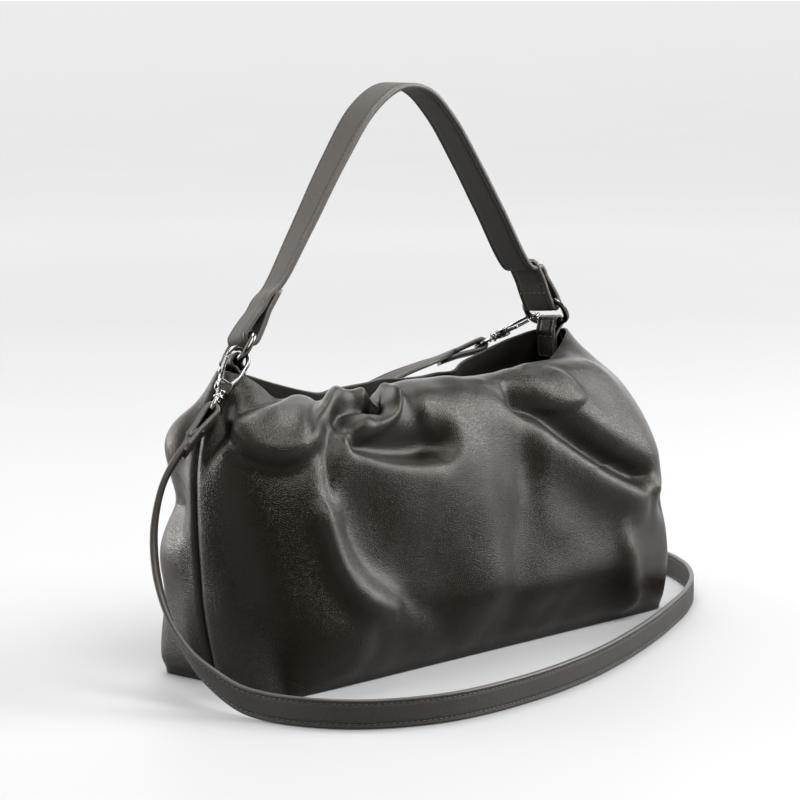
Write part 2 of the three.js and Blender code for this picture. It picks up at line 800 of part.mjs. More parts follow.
function gateBody() {
  const { pivot, gate } = HOOK;
  const rows = gate.path.map(([x, z]) => new THREE.Vector3(x, 0, z));
  const curve = new THREE.CatmullRomCurve3(rows, false, "centripetal");
  const y = new THREE.Vector3(0, 1, 0);
  const half = gate.thick / 2;
  const outline = [[-half, -gate.half], [half, -gate.half], [half, gate.half], [-half, gate.half]];
  const bar = sweep(wireStations(curve.getPoints(12), false, y), outline);
  const hub = plate(disc(pivot.x, pivot.z, pivot.hub), gate.thick);
  const nub = plate(disc(gate.nub[0], gate.nub[1], 1.3), gate.thick);
  const bore = plate(disc(pivot.x, pivot.z, pivot.bore), gate.thick + 2);
  return cutBy(joined([bar, hub, nub]), [bore]);
}

// The swivel eye: a flat loop across the strap, with a stem in the hook's neck.
function eyeBody(frame) {
  const { eye } = HOOK;
  const middle = (eye.top + eye.bar) / 2;
  const tall = (eye.top - eye.bar) / 2;
  const across = frame.across;
  const points = [];
  const steps = 40;
  const square = 4;
  for (let i = 0; i < steps; i += 1) {
    const a = (2 * Math.PI * i) / steps;
    const c = Math.cos(a);
    const s = Math.sin(a);
    const r = (Math.abs(c) ** square + Math.abs(s) ** square) ** (-1 / square);
    points.push(frame.at.clone()
      .addScaledVector(across, eye.halfWide * c * r)
      .addScaledVector(frame.lie, middle + tall * s * r));
  }
  const normal = new THREE.Vector3().crossVectors(across, frame.lie).normalize();
  const loop = sweep(wireStations(points, true, normal), roundOutline(eye.wire, 8), true);
  const stem = barAlong(eye.stem, eye.top, HOOK.neck.depth - GAP, 12).applyMatrix4(frame.matrix);
  return joined([loop, stem]);
}

function strapBody(left, right) {
  const radius = HOOK.eye.wire + GAP + STRAP.thick / 2;
  const end = (hook, towards) => {
    const bar = hook.at.clone().addScaledVector(hook.lie, HOOK.eye.bar);
    const out = towards.clone().sub(bar);
    out.addScaledVector(hook.across, -out.dot(hook.across)).normalize();
    const face = new THREE.Vector3().crossVectors(out, hook.across).normalize();
    if (face.z < 0) face.negate();
    return foldedEnd({ bar, across: hook.across, out, face, radius, ...STRAP });
  };
  const route = STRAP_ROUTE.map(vec);
  const from = end(left, route[0]);
  const to = end(right, route.at(-1));
  const turns = [0, 1, 2].map((k) => {
    const rows = STRAP_TURN.map((r) => ({ at: r.at, value: r.across[k] }));
    return through(rows, "at", "value");
  });
  const middle = route.map((at, i) => ({ at, across: vec(turns.map((f) => f(i))) }));
  const last = to.slice().reverse().map((r) => ({ at: r.at, across: r.across.clone().negate() }));
  const rows = [...from, ...middle, ...last];
  return sweep(stripStations(rows), stripOutline(STRAP.width, STRAP.thick));
}

// Assembly

const bag = new THREE.Group();
bag.name = "crossbody_bag";

function add(name, geometry, finish) {
  geometry.computeVertexNormals();
  const mesh = new THREE.Mesh(geometry, new THREE.MeshStandardMaterial(finish));
  mesh.name = name;
  bag.add(mesh);
}

const ringLeft = ringFrame(RING_LEFT);
const ringRight = ringFrame(RING_RIGHT);
const hookLeft = hookFrame(ringLeft, HOOK_LEFT, RING_LEFT.hookAt);
const hookRight = hookFrame(ringRight, HOOK_RIGHT, RING_RIGHT.hookAt);

add("front_panel", wallPanel("front", FRONT_FOLDS, 80, 22), FINISH.leather);
add("back_panel", wallPanel("back", BACK_FOLDS, 36, 13), FINISH.leather);
add("base_panel", basePanel(), FINISH.leather);
add("ring_tab_left", tabBody(ringLeft, 1), FINISH.leather);
add("ring_tab_right", tabBody(ringRight, -1), FINISH.leather);
add("ring_left", ringBody(ringLeft), FINISH.gunmetal);
add("ring_right", ringBody(ringRight), FINISH.gunmetal);
add("handle", handleBody(ringLeft, ringRight), FINISH.strapLeather);
add("crossbody_strap", strapBody(hookLeft, hookRight), FINISH.strapLeather);
for (const [side, frame] of [["left", hookLeft], ["right", hookRight]]) {
  add(`hook_${side}_body`, hookBody().applyMatrix4(frame.matrix), FINISH.nickel);
  add(`hook_${side}_gate`, gateBody().applyMatrix4(frame.matrix), FINISH.nickel);
  add(`hook_${side}_eye`, eyeBody(frame), FINISH.nickel);
}

export default bag;
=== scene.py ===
"""A soft crossbody bag: its leather, hardware, strap and studio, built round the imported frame.

Tables are in millimetres and meshes in metres. +Z is up, X runs along the bag, -Y is its front,
and the base rests on z = 0.
"""

from __future__ import annotations

import logging
import math
from collections.abc import Callable, Sequence
from dataclasses import dataclass
from enum import Enum

import bpy
import numpy as np
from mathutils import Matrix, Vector


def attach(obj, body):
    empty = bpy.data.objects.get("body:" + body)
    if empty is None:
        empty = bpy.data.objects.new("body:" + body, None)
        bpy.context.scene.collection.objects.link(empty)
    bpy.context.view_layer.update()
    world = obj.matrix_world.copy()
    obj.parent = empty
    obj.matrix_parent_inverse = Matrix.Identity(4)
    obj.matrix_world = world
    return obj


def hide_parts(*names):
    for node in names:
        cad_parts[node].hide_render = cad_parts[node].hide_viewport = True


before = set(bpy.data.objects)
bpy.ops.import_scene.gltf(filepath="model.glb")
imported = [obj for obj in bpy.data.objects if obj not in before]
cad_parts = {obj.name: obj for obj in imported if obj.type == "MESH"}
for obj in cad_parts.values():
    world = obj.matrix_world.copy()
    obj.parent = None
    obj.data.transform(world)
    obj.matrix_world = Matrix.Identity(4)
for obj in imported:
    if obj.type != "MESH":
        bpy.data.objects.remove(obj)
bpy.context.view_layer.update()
LOG = logging.getLogger("crossbody_bag")

MM = 0.001
UP = np.array([0.0, 0.0, 1.0])
BACKWARD = np.array([0.0, 1.0, 0.0])
TINY = 1e-12

# Sockets that go by number, because their names repeat on the node
MIX_FIRST, MIX_SECOND, MIX_RESULT = 6, 7, 2
RANDOM_LEAST, RANDOM_MOST, RANDOM_RESULT = 2, 3, 1

# A row is a strip's middle and its way across, a faced path has points and the ways they face,
# and a shape has points in millimetres and the faces on them
Colour = tuple[float, float, float]
Place = tuple[float, float, float]
Outline = tuple[tuple[float, float], ...]
Row = tuple[np.ndarray, np.ndarray]
FacedPath = tuple[np.ndarray, np.ndarray]
Shape = tuple[np.ndarray, list[list[int]]]


class Body(Enum):
    """The bodies that pieces ride on."""

    BAG = "bag"
    LEFT_GATE = "left_gate"
    RIGHT_GATE = "right_gate"


class Slot(Enum):
    """Names of the material slots."""

    BODY_LEATHER = "body_leather"
    STRAP_LEATHER = "strap_leather"
    GUNMETAL = "gunmetal"
    NICKEL = "nickel"


class Panel(Enum):
    """The two soft walls, by the sign of their side along Y."""

    FRONT = -1
    BACK = 1


# Numbers and curves


def ease(low: float, high: float, x: np.ndarray | float) -> np.ndarray:
    """Smooth step of x from 0 at low to 1 at high."""
    t = np.clip((np.asarray(x, float) - low) / (high - low), 0, 1)
    return t * t * (3 - 2 * t)


def mix(a: np.ndarray | float, b: np.ndarray | float, t: np.ndarray | float) -> np.ndarray:
    """Blend from a at t = 0 to b at t = 1."""
    return a + (b - a) * t


def unit(v: np.ndarray) -> np.ndarray:
    """Vectors along the last axis, scaled to length 1."""
    return v / (np.linalg.norm(v, axis=-1, keepdims=True) + TINY)


def square_off(v: np.ndarray, along: np.ndarray) -> np.ndarray:
    """The part of v at right angles to unit vectors along, at length 1."""
    return unit(v - along * np.sum(v * along, axis=-1, keepdims=True))


def curve_through(x: Sequence[float], y: Sequence[float]) -> Callable[[np.ndarray], np.ndarray]:
    """A curve through a table's rows that never overshoots them.

    Args:
        x: Places of the rows, rising.
        y: Values at those places.

    Returns:
        A function of places.
    """
    xs, ys = np.asarray(x, float), np.asarray(y, float)
    h = np.diff(xs)
    d = np.diff(ys) / h
    m = np.zeros_like(ys)
    m[0], m[-1] = d[0], d[-1]
    for i in range(1, len(xs) - 1):
        if d[i - 1] * d[i] > 0:
            a, b = 2 * h[i] + h[i - 1], h[i] + 2 * h[i - 1]
            m[i] = (a + b) / (a / d[i - 1] + b / d[i])

    def at(place: np.ndarray) -> np.ndarray:
        """Reads the curve.

        Args:
            place: Places along it.

        Returns:
            Its values there.
        """
        p = np.asarray(place, float)
        i = np.clip(np.searchsorted(xs, p, side="right") - 1, 0, len(h) - 1)
        t = np.clip((p - xs[i]) / h[i], 0, 1)
        t2, t3 = t * t, t * t * t
        start = (2 * t3 - 3 * t2 + 1) * ys[i] + (t3 - 2 * t2 + t) * h[i] * m[i]
        return start + (3 * t2 - 2 * t3) * ys[i + 1] + (t3 - t2) * h[i] * m[i + 1]

    return at


def smooth_line(points: Sequence[Sequence[float]], count: int) -> np.ndarray:
    """A smooth line through points.

    Args:
        points: The points it passes.
        count: How many points to return.

    Returns:
        Points on the line, evenly spaced by the given points.
    """
    p = np.asarray(points, float)
    p = np.vstack([2 * p[0] - p[1], p, 2 * p[-1] - p[-2]])
    u = np.linspace(0, len(p) - 3, count)
    i = np.minimum(u.astype(int), len(p) - 4)
    t = (u - i)[:, None]
    a, b, c, d = p[i], p[i + 1], p[i + 2], p[i + 3]
    curve = 2 * b + (c - a) * t + (2 * a - 5 * b + 4 * c - d) * t**2
    return 0.5 * (curve + (3 * b - a - 3 * c + d) * t**3)


def even_spline(points: np.ndarray, spacing: float, least: int) -> tuple[np.ndarray, np.ndarray]:
    """A smooth line through points, which doesn't swing out between uneven ones.

    Args:
        points: The points it passes, one in each row.
        spacing: Longest step.
        least: Fewest steps between two points.

    Returns:
        Points on the line, and each one's place as a number of points.
    """
    p = np.vstack([2 * points[0] - points[1], points, 2 * points[-1] - points[-2]])
    knot = np.concatenate([[0], np.cumsum(np.sqrt(np.linalg.norm(np.diff(p, axis=0), axis=1)))])
    line, places = [], []
    for i in range(1, len(p) - 2):
        steps = max(least, math.ceil(np.linalg.norm(p[i + 1] - p[i]) / spacing))
        share = np.arange(steps) / steps
        t = mix(knot[i], knot[i + 1], share)[:, None]
        k = knot[i - 1:i + 3]
        q = p[i - 1:i + 3]
        first = [mix(q[j], q[j + 1], (t - k[j]) / (k[j + 1] - k[j])) for j in range(3)]
        second = [mix(first[j], first[j + 1], (t - k[j]) / (k[j + 2] - k[j])) for j in range(2)]
        line.append(mix(second[0], second[1], (t - k[1]) / (k[2] - k[1])))
        places.append(i - 1 + share)
    line.append(points[-1:])
    places.append([len(points) - 1])
    return np.concatenate(line), np.concatenate(places)


def superellipse(degrees: np.ndarray, power: float | np.ndarray) -> tuple[np.ndarray, np.ndarray]:
    """Cosine and sine of angles, pushed out towards a rounded square.

    Args:
        degrees: The angles.
        power: 2 for a circle, more for squarer corners.

    Returns:
        The two values at each angle.
    """
    c, s = np.cos(np.radians(degrees)), np.sin(np.radians(degrees))
    r = (np.abs(c) ** power + np.abs(s) ** power) ** (-1 / power)
    return c * r, s * r


# Meshes


def grid_faces(rows: int, columns: int, ring: bool = False) -> np.ndarray:
    """Quads of a grid of points held row by row.

    Args:
        rows: Number of rows.
        columns: Number of points in a row.
        ring: Whether the last row joins the first.

    Returns:
        Four point numbers for each quad.
    """
    j = np.arange(rows if ring else rows - 1)[:, None]
    i = np.arange(columns - 1)[None, :]
    after = (j + 1) % rows
    quads = [j * columns + i, j * columns + i + 1, after * columns + i + 1, after * columns + i]
    return np.stack([np.broadcast_to(q, (len(j), columns - 1)) for q in quads], -1).reshape(-1, 4)


def new_piece(
    name: str,
    points_mm: np.ndarray,
    faces: Sequence[Sequence[int]],
    materials: Sequence[bpy.types.Material],
    choice: np.ndarray | None = None,
) -> bpy.types.Object:
    """A smooth mesh object at the origin.

    Args:
        name: The piece's name.
        points_mm: Its points in millimetres.
        faces: Point numbers of each face.
        materials: Its materials.
        choice: The number of each face's material.

    Returns:
        The new object, in the scene.
    """
    mesh = bpy.data.meshes.new(name)
    mesh.from_pydata((np.asarray(points_mm) * MM).tolist(), [], [list(f) for f in faces])
    for material in materials:
        mesh.materials.append(material)
    if choice is not None:
        mesh.polygons.foreach_set("material_index", np.asarray(choice, np.int32))
    mesh.polygons.foreach_set("use_smooth", np.ones(len(mesh.polygons), bool))
    mesh.update()
    made = bpy.data.objects.new(name, mesh)
    bpy.context.scene.collection.objects.link(made)
    return made


def put_attribute(piece: bpy.types.Object, name: str, values: np.ndarray) -> None:
    """Stores one number for each point of a piece, for its material to read."""
    attribute = piece.data.attributes.new(name, "FLOAT", "POINT")
    attribute.data.foreach_set("value", np.asarray(values, np.float32))


def fit(
    piece: bpy.types.Object,
    nodes: Sequence[str] = (),
    body: Body = Body.BAG,
) -> bpy.types.Object:
    """Ties a finished piece to the frame.

    Args:
        piece: The finished piece.
        nodes: The nodes that it stands for.
        body: The body that it rides on.

    Returns:
        The same piece.
    """
    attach(piece, body.value)
    if nodes:
        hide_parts(*nodes)
    LOG.info("%s: %d faces on %s", piece.name, len(piece.data.polygons), body.value)
    return piece


# Node trees


class Wiring:
    """Adds nodes to a tree and links them."""

    def __init__(self, tree: bpy.types.NodeTree) -> None:
        """Keeps the tree that is wired."""
        self.tree = tree

    def add(self, kind: str, values: dict | None = None, **settings: object) -> bpy.types.Node:
        """A new node.

        Args:
            kind: Its type.
            values: Input names or numbers, each with a plain value or a socket to link from.
            settings: The node's own settings.

        Returns:
            The node.
        """
        node = self.tree.nodes.new(kind)
        for key, value in settings.items():
            setattr(node, key, value)
        for key, value in (values or {}).items():
            self.feed(node.inputs[key], value)
        return node

    def feed(self, socket: bpy.types.NodeSocket, value: object) -> None:
        """Links a socket from another one, or sets its plain value.

        Args:
            socket: The input to feed.
            value: A socket or a plain value.
        """
        if isinstance(value, bpy.types.NodeSocket):
            self.tree.links.new(value, socket)
        else:
            socket.default_value = value

    def sums(self, operation: str, *values: object) -> bpy.types.NodeSocket:
        """The result of one sum on numbers or sockets."""
        node = self.add("ShaderNodeMath", dict(enumerate(values)), operation=operation)
        return node.outputs[0]

    def blend(
        self, factor: object, first: object, second: object, way: str = "MIX"
    ) -> bpy.types.NodeSocket:
        """A colour made from two.

        Args:
            factor: How much of the second colour.
            first: The first colour.
            second: The second colour.
            way: The blend type.

        Returns:
            The blended colour.
        """
        values = {"Factor": factor, MIX_FIRST: first, MIX_SECOND: second}
        node = self.add(
            "ShaderNodeMix", values, data_type="RGBA", blend_type=way, clamp_factor=True
        )
        return node.outputs[MIX_RESULT]

    def socket(self, name: str, kind: str, direction: str = "INPUT", value: object = None) -> None:
        """Adds a named socket to a group's interface.

        Args:
            name: The socket's name.
            kind: Its type.
            direction: INPUT or OUTPUT.
            value: Its value while nothing is linked.
        """
        made = self.tree.interface.new_socket(name=name, in_out=direction, socket_type=kind)
        if value is not None:
            made.default_value = value


class SurfaceGroups:
    """The effects that several finishes share, each a shader node group."""

    DRIFT_SCALE = 0.3
    DRIFT_METRES = 0.0006
    PEBBLE_EDGE = 0.32
    PORE_SCALE = 1.9
    PATCH_MIDDLE = 0.5
    RUB_PATCHES = 160.0

    def __init__(self) -> None:
        """Builds the groups once."""
        self.grain = self._grain()
        self.handling = self._handling()
        self.wear = self._wear()

    @staticmethod
    def _start(name: str) -> Wiring:
        """An empty shader group, ready to wire."""
        return Wiring(bpy.data.node_groups.new(name, "ShaderNodeTree"))

    def _grain(self) -> bpy.types.NodeTree:
        """Leather grain: small pebbles parted by fine creases, with pores on them.

        Returns:
            The group.
        """
        w = self._start("Leather Grain")
        w.socket("Cells per Metre", "NodeSocketFloat", value=900.0)
        w.socket("Pore Share", "NodeSocketFloat", value=0.3)
        w.socket("Height", "NodeSocketFloat", "OUTPUT")
        w.socket("Crease", "NodeSocketFloat", "OUTPUT")
        given = w.add("NodeGroupInput").outputs
        place = w.add("ShaderNodeTexCoord").outputs["Object"]
        cells = given["Cells per Metre"]
        coarse = w.sums("MULTIPLY", cells, self.DRIFT_SCALE)
        drift = w.add("ShaderNodeTexNoise", {"Vector": place, "Scale": coarse}).outputs["Color"]
        shift = w.add("ShaderNodeVectorMath", {0: drift, "Scale": self.DRIFT_METRES}, operation="SCALE")
        moved = w.add("ShaderNodeVectorMath", {0: place, 1: shift.outputs[0]}, operation="ADD")
        cell = w.add(
            "ShaderNodeTexVoronoi",
            {"Vector": moved.outputs[0], "Scale": cells},
            feature="DISTANCE_TO_EDGE",
        )
        pebble = w.add(
            "ShaderNodeMapRange",
            {"Value": cell.outputs["Distance"], "From Min": 0.0, "From Max": self.PEBBLE_EDGE},
            interpolation_type="SMOOTHSTEP",
        ).outputs["Result"]
        pores = w.add(
            "ShaderNodeTexNoise",
            {"Vector": place, "Scale": w.sums("MULTIPLY", cells, self.PORE_SCALE), "Detail": 3.0},
        ).outputs["Fac"]
        share = given["Pore Share"]
        kept = w.sums("MULTIPLY", pebble, w.sums("SUBTRACT", 1.0, share))
        height = w.sums("ADD", kept, w.sums("MULTIPLY", pores, share))
        w.add("NodeGroupOutput", {"Height": height, "Crease": w.sums("SUBTRACT", 1.0, pebble)})
        return w.tree

    def _handling(self) -> bpy.types.NodeTree:
        """Patchy gloss and tone from handling.

        Returns:
            The group.
        """
        w = self._start("Handling")
        w.socket("Patches per Metre", "NodeSocketFloat", value=18.0)
        w.socket("Roughness", "NodeSocketFloat", value=0.45)
        w.socket("Spread", "NodeSocketFloat", value=0.1)
        w.socket("Roughness", "NodeSocketFloat", "OUTPUT")
        w.socket("Patch", "NodeSocketFloat", "OUTPUT")
        given = w.add("NodeGroupInput").outputs
        place = w.add("ShaderNodeTexCoord").outputs["Object"]
        patch = w.add(
            "ShaderNodeTexNoise",
            {"Vector": place, "Scale": given["Patches per Metre"], "Detail": 4.0, "Roughness": 0.6},
        ).outputs["Fac"]
        swing = w.sums("MULTIPLY", w.sums("SUBTRACT", patch, self.PATCH_MIDDLE), given["Spread"])
        rough = w.sums("ADD", given["Roughness"], swing)
        w.add("NodeGroupOutput", {"Roughness": rough, "Patch": patch})
        return w.tree

    def _wear(self) -> bpy.types.NodeTree:
        """Lighter tone where a crest or an edge is rubbed.

        Returns:
            The group.
        """
        w = self._start("Rubbed Edges")
        w.socket("Colour", "NodeSocketColor", value=(0.03, 0.03, 0.03, 1))
        w.socket("Rubbed Colour", "NodeSocketColor", value=(0.06, 0.06, 0.06, 1))
        w.socket("Rub", "NodeSocketFloat", value=0.0)
        w.socket("Amount", "NodeSocketFloat", value=0.5)
        w.socket("Colour", "NodeSocketColor", "OUTPUT")
        given = w.add("NodeGroupInput").outputs
        place = w.add("ShaderNodeTexCoord").outputs["Object"]
        broken = w.add("ShaderNodeTexNoise", {"Vector": place, "Scale": self.RUB_PATCHES, "Detail": 4.0})
        most = w.sums("MULTIPLY", given["Rub"], given["Amount"])
        rub = w.sums("MULTIPLY", most, broken.outputs["Fac"])
        w.add("NodeGroupOutput", {"Colour": w.blend(rub, given["Colour"], given["Rubbed Colour"])})
        return w.tree


@dataclass(frozen=True)
class Finish:
    """A surface finish; each kind makes its own material."""

    name: str
    colour: Colour
    roughness: float

    def start(self) -> tuple[bpy.types.Material, Wiring, bpy.types.Node]:
        """A new material with its shader.

        Returns:
            The material, its wiring and its shader node.
        """
        material = bpy.data.materials.new(self.name)
        material.use_nodes = True
        material.diffuse_color = (*self.colour, 1)
        wiring = Wiring(material.node_tree)
        return material, wiring, material.node_tree.nodes["Principled BSDF"]


@dataclass(frozen=True)
class LeatherFinish(Finish):
    """Leather with grain, patchy gloss, rubbed crests and painted shade in the grain's creases."""

    rubbed: Colour = (0.035, 0.032, 0.028)
    cell_mm: float = 1.0
    depth_mm: float = 0.035
    spread: float = 0.12
    gloss: float = 0.5
    gloss_tint: Colour = (1.0, 0.92, 0.84)
    # Painted shade in the grain's creases: how strong it is, and the colour that it multiplies by
    crease_shade_share: float = 0.45
    crease_shade_tint: Colour = (0.35, 0.33, 0.3)

    def material(self, groups: SurfaceGroups) -> bpy.types.Material:
        """Makes the leather.

        Args:
            groups: The shared effects.

        Returns:
            The material. It reads the points' attribute named rub.
        """
        material, w, shader = self.start()
        grain = w.add("ShaderNodeGroup", node_tree=groups.grain)
        w.feed(grain.inputs["Cells per Metre"], 1 / (self.cell_mm * MM))
        hand = w.add("ShaderNodeGroup", node_tree=groups.handling)
        w.feed(hand.inputs["Roughness"], self.roughness)
        w.feed(hand.inputs["Spread"], self.spread)
        rub = w.add("ShaderNodeAttribute", attribute_name="rub")
        wear = w.add("ShaderNodeGroup", node_tree=groups.wear)
        w.feed(wear.inputs["Colour"], (*self.colour, 1))
        w.feed(wear.inputs["Rubbed Colour"], (*self.rubbed, 1))
        w.feed(wear.inputs["Rub"], rub.outputs["Fac"])
        # Painted shade: the base colour is darkened in the grain's creases
        crease = w.sums("MULTIPLY", grain.outputs["Crease"], self.crease_shade_share)
        tone = w.blend(crease, wear.outputs["Colour"], (*self.crease_shade_tint, 1), "MULTIPLY")
        bump = w.add(
            "ShaderNodeBump",
            {"Strength": 1.0, "Distance": self.depth_mm * MM, "Height": grain.outputs["Height"]},
        )
        w.feed(shader.inputs["Base Color"], tone)
        w.feed(shader.inputs["Roughness"], hand.outputs["Roughness"])
        w.feed(shader.inputs["Normal"], bump.outputs["Normal"])
        shader.inputs["Specular IOR Level"].default_value = self.gloss
        shader.inputs["Specular Tint"].default_value = (*self.gloss_tint, 1)
        return material


@dataclass(frozen=True)
class MetalFinish(Finish):
    """Plated metal with faint scratches."""

    scratch_mm: float = 0.0012
    scratches: float = 1400.0
    patches: float = 240.0
    spread: float = 0.12
    shade: float = 0.8

    def material(self, groups: SurfaceGroups) -> bpy.types.Material:
        """Makes the plated metal.

        Args:
            groups: The shared effects.

        Returns:
            The material.
        """
        material, w, shader = self.start()
        hand = w.add("ShaderNodeGroup", node_tree=groups.handling)
        w.feed(hand.inputs["Patches per Metre"], self.patches)
        w.feed(hand.inputs["Roughness"], self.roughness)
        w.feed(hand.inputs["Spread"], self.spread)
        shaded = (*[self.shade * c for c in self.colour], 1)
        tone = w.blend(hand.outputs["Patch"], shaded, (*self.colour, 1))
        place = w.add("ShaderNodeTexCoord").outputs["Object"]
        marks = w.add("ShaderNodeTexNoise", {"Vector": place, "Scale": self.scratches, "Detail": 2.0})
        bump = w.add(
            "ShaderNodeBump",
            {"Strength": 0.5, "Distance": self.scratch_mm * MM, "Height": marks.outputs["Fac"]},
        )
        w.feed(shader.inputs["Base Color"], tone)
        w.feed(shader.inputs["Roughness"], hand.outputs["Roughness"])
        w.feed(shader.inputs["Normal"], bump.outputs["Normal"])
        shader.inputs["Metallic"].default_value = 1.0
        return material


@dataclass(frozen=True)
class ThreadFinish(Finish):
    """Twisted sewing thread."""

    twists: float = 900.0
    twist_mm: float = 0.1
    shade: float = 0.6

    def material(self, groups: SurfaceGroups) -> bpy.types.Material:
        """Makes the thread.

        Args:
            groups: The shared effects.

        Returns:
            The material.
        """
        material, w, shader = self.start()
        place = w.add("ShaderNodeTexCoord").outputs["Object"]
        twist = w.add(
            "ShaderNodeTexWave",
            {"Vector": place, "Scale": self.twists, "Distortion": 2.0},
            bands_direction="DIAGONAL",
        )
        shaded = (*[self.shade * c for c in self.colour], 1)
        tone = w.blend(twist.outputs["Fac"], shaded, (*self.colour, 1))
        hand = w.add("ShaderNodeGroup", node_tree=groups.handling)
        w.feed(hand.inputs["Roughness"], self.roughness)
        bump = w.add(
            "ShaderNodeBump",
            {"Strength": 0.6, "Distance": self.twist_mm * MM, "Height": twist.outputs["Fac"]},
        )
        w.feed(shader.inputs["Base Color"], tone)
        w.feed(shader.inputs["Roughness"], hand.outputs["Roughness"])
        w.feed(shader.inputs["Normal"], bump.outputs["Normal"])
        return material


class Wardrobe:
    """The bag's materials, made once."""

    def __init__(self) -> None:
        """Makes every material from its finish."""
        groups = SurfaceGroups()
        self.body = LeatherFinish(
            "smooth_black_leather", (0.006, 0.0044, 0.0024), 0.31, cell_mm=1.05, depth_mm=0.115, gloss=0.18
        ).material(groups)
        self.lining = LeatherFinish(
            "leather_inside", (0.014, 0.0125, 0.0105), 0.6, cell_mm=0.7, gloss=0.25
        ).material(groups)
        self.strap = LeatherFinish(
            "strap_leather", (0.035, 0.032, 0.0285), 0.6, cell_mm=0.9, depth_mm=0.07, gloss=0.1
        ).material(groups)
        self.edge = LeatherFinish(
            "edge_paint", (0.007, 0.0066, 0.006), 0.5, cell_mm=0.5, depth_mm=0.015
        ).material(groups)
        self.thread = ThreadFinish("black_thread", (0.03, 0.0285, 0.026), 0.6).material(groups)
        self.gunmetal = MetalFinish("gunmetal_plate", (0.1, 0.092, 0.082), 0.2).material(groups)
        self.nickel = MetalFinish("nickel_plate", (0.17, 0.167, 0.16), 0.22).material(groups)


# Geometry node trees


class PathTree:
    """A Geometry Nodes tree that builds on a path drawn as a mesh of edges."""

    def __init__(self, name: str) -> None:
        """Starts the tree.

        Args:
            name: The tree's name.
        """
        self.w = Wiring(bpy.data.node_groups.new(name, "GeometryNodeTree"))
        self.w.socket("Geometry", "NodeSocketGeometry")
        self.w.socket("Geometry", "NodeSocketGeometry", "OUTPUT")

    def input(self, name: str, kind: str) -> None:
        """Adds a named input."""
        self.w.socket(name, kind)

    def close(self, geometry: bpy.types.NodeSocket, material: bpy.types.NodeSocket) -> None:
        """Ends the tree: realizes, smooths and dresses the geometry.

        Args:
            geometry: What the tree has made.
            material: Its material.
        """
        real = self.w.add("GeometryNodeRealizeInstances", {"Geometry": geometry})
        smooth = self.w.add("GeometryNodeSetShadeSmooth", {"Geometry": real.outputs[0]})
        dressed = self.w.add(
            "GeometryNodeSetMaterial", {"Geometry": smooth.outputs[0], "Material": material}
        )
        self.w.add("NodeGroupOutput", {"Geometry": dressed.outputs[0]})

    def run(
        self, name: str, paths: Sequence[FacedPath], loop: bool, values: dict
    ) -> bpy.types.Object:
        """Runs the tree on paths and keeps the result as a plain mesh.

        Args:
            name: The piece's name.
            paths: Each path's points in millimetres and the directions that face out of it.
            loop: Whether each path joins its own start.
            values: The tree's inputs by name.

        Returns:
            The new piece.
        """
        points = np.concatenate([p for p, _ in paths]) * MM
        facing = np.concatenate([f for _, f in paths])
        edges, first = [], 0
        for path, _ in paths:
            count = len(path)
            steps = range(count if loop else count - 1)
            edges += [(first + i, first + (i + 1) % count) for i in steps]
            first += count
        mesh = bpy.data.meshes.new(name + "_path")
        mesh.from_pydata(points.tolist(), edges, [])
        face = mesh.attributes.new("face", "FLOAT_VECTOR", "POINT")
        face.data.foreach_set("vector", np.asarray(facing, np.float32).ravel())
        draft = bpy.data.objects.new(name + "_draft", mesh)
        modifier = draft.modifiers.new("Path", "NODES")
        modifier.node_group = self.w.tree
        for item in self.w.tree.interface.items_tree:
            if item.in_out == "INPUT" and item.name in values:
                modifier[item.identifier] = values[item.name]
        bpy.context.scene.collection.objects.link(draft)
        shaped = draft.evaluated_get(bpy.context.evaluated_depsgraph_get())
        result = bpy.data.meshes.new_from_object(shaped)
        bpy.data.objects.remove(draft)
        result.name = name
        made = bpy.data.objects.new(name, result)
        bpy.context.scene.collection.objects.link(made)
        return made


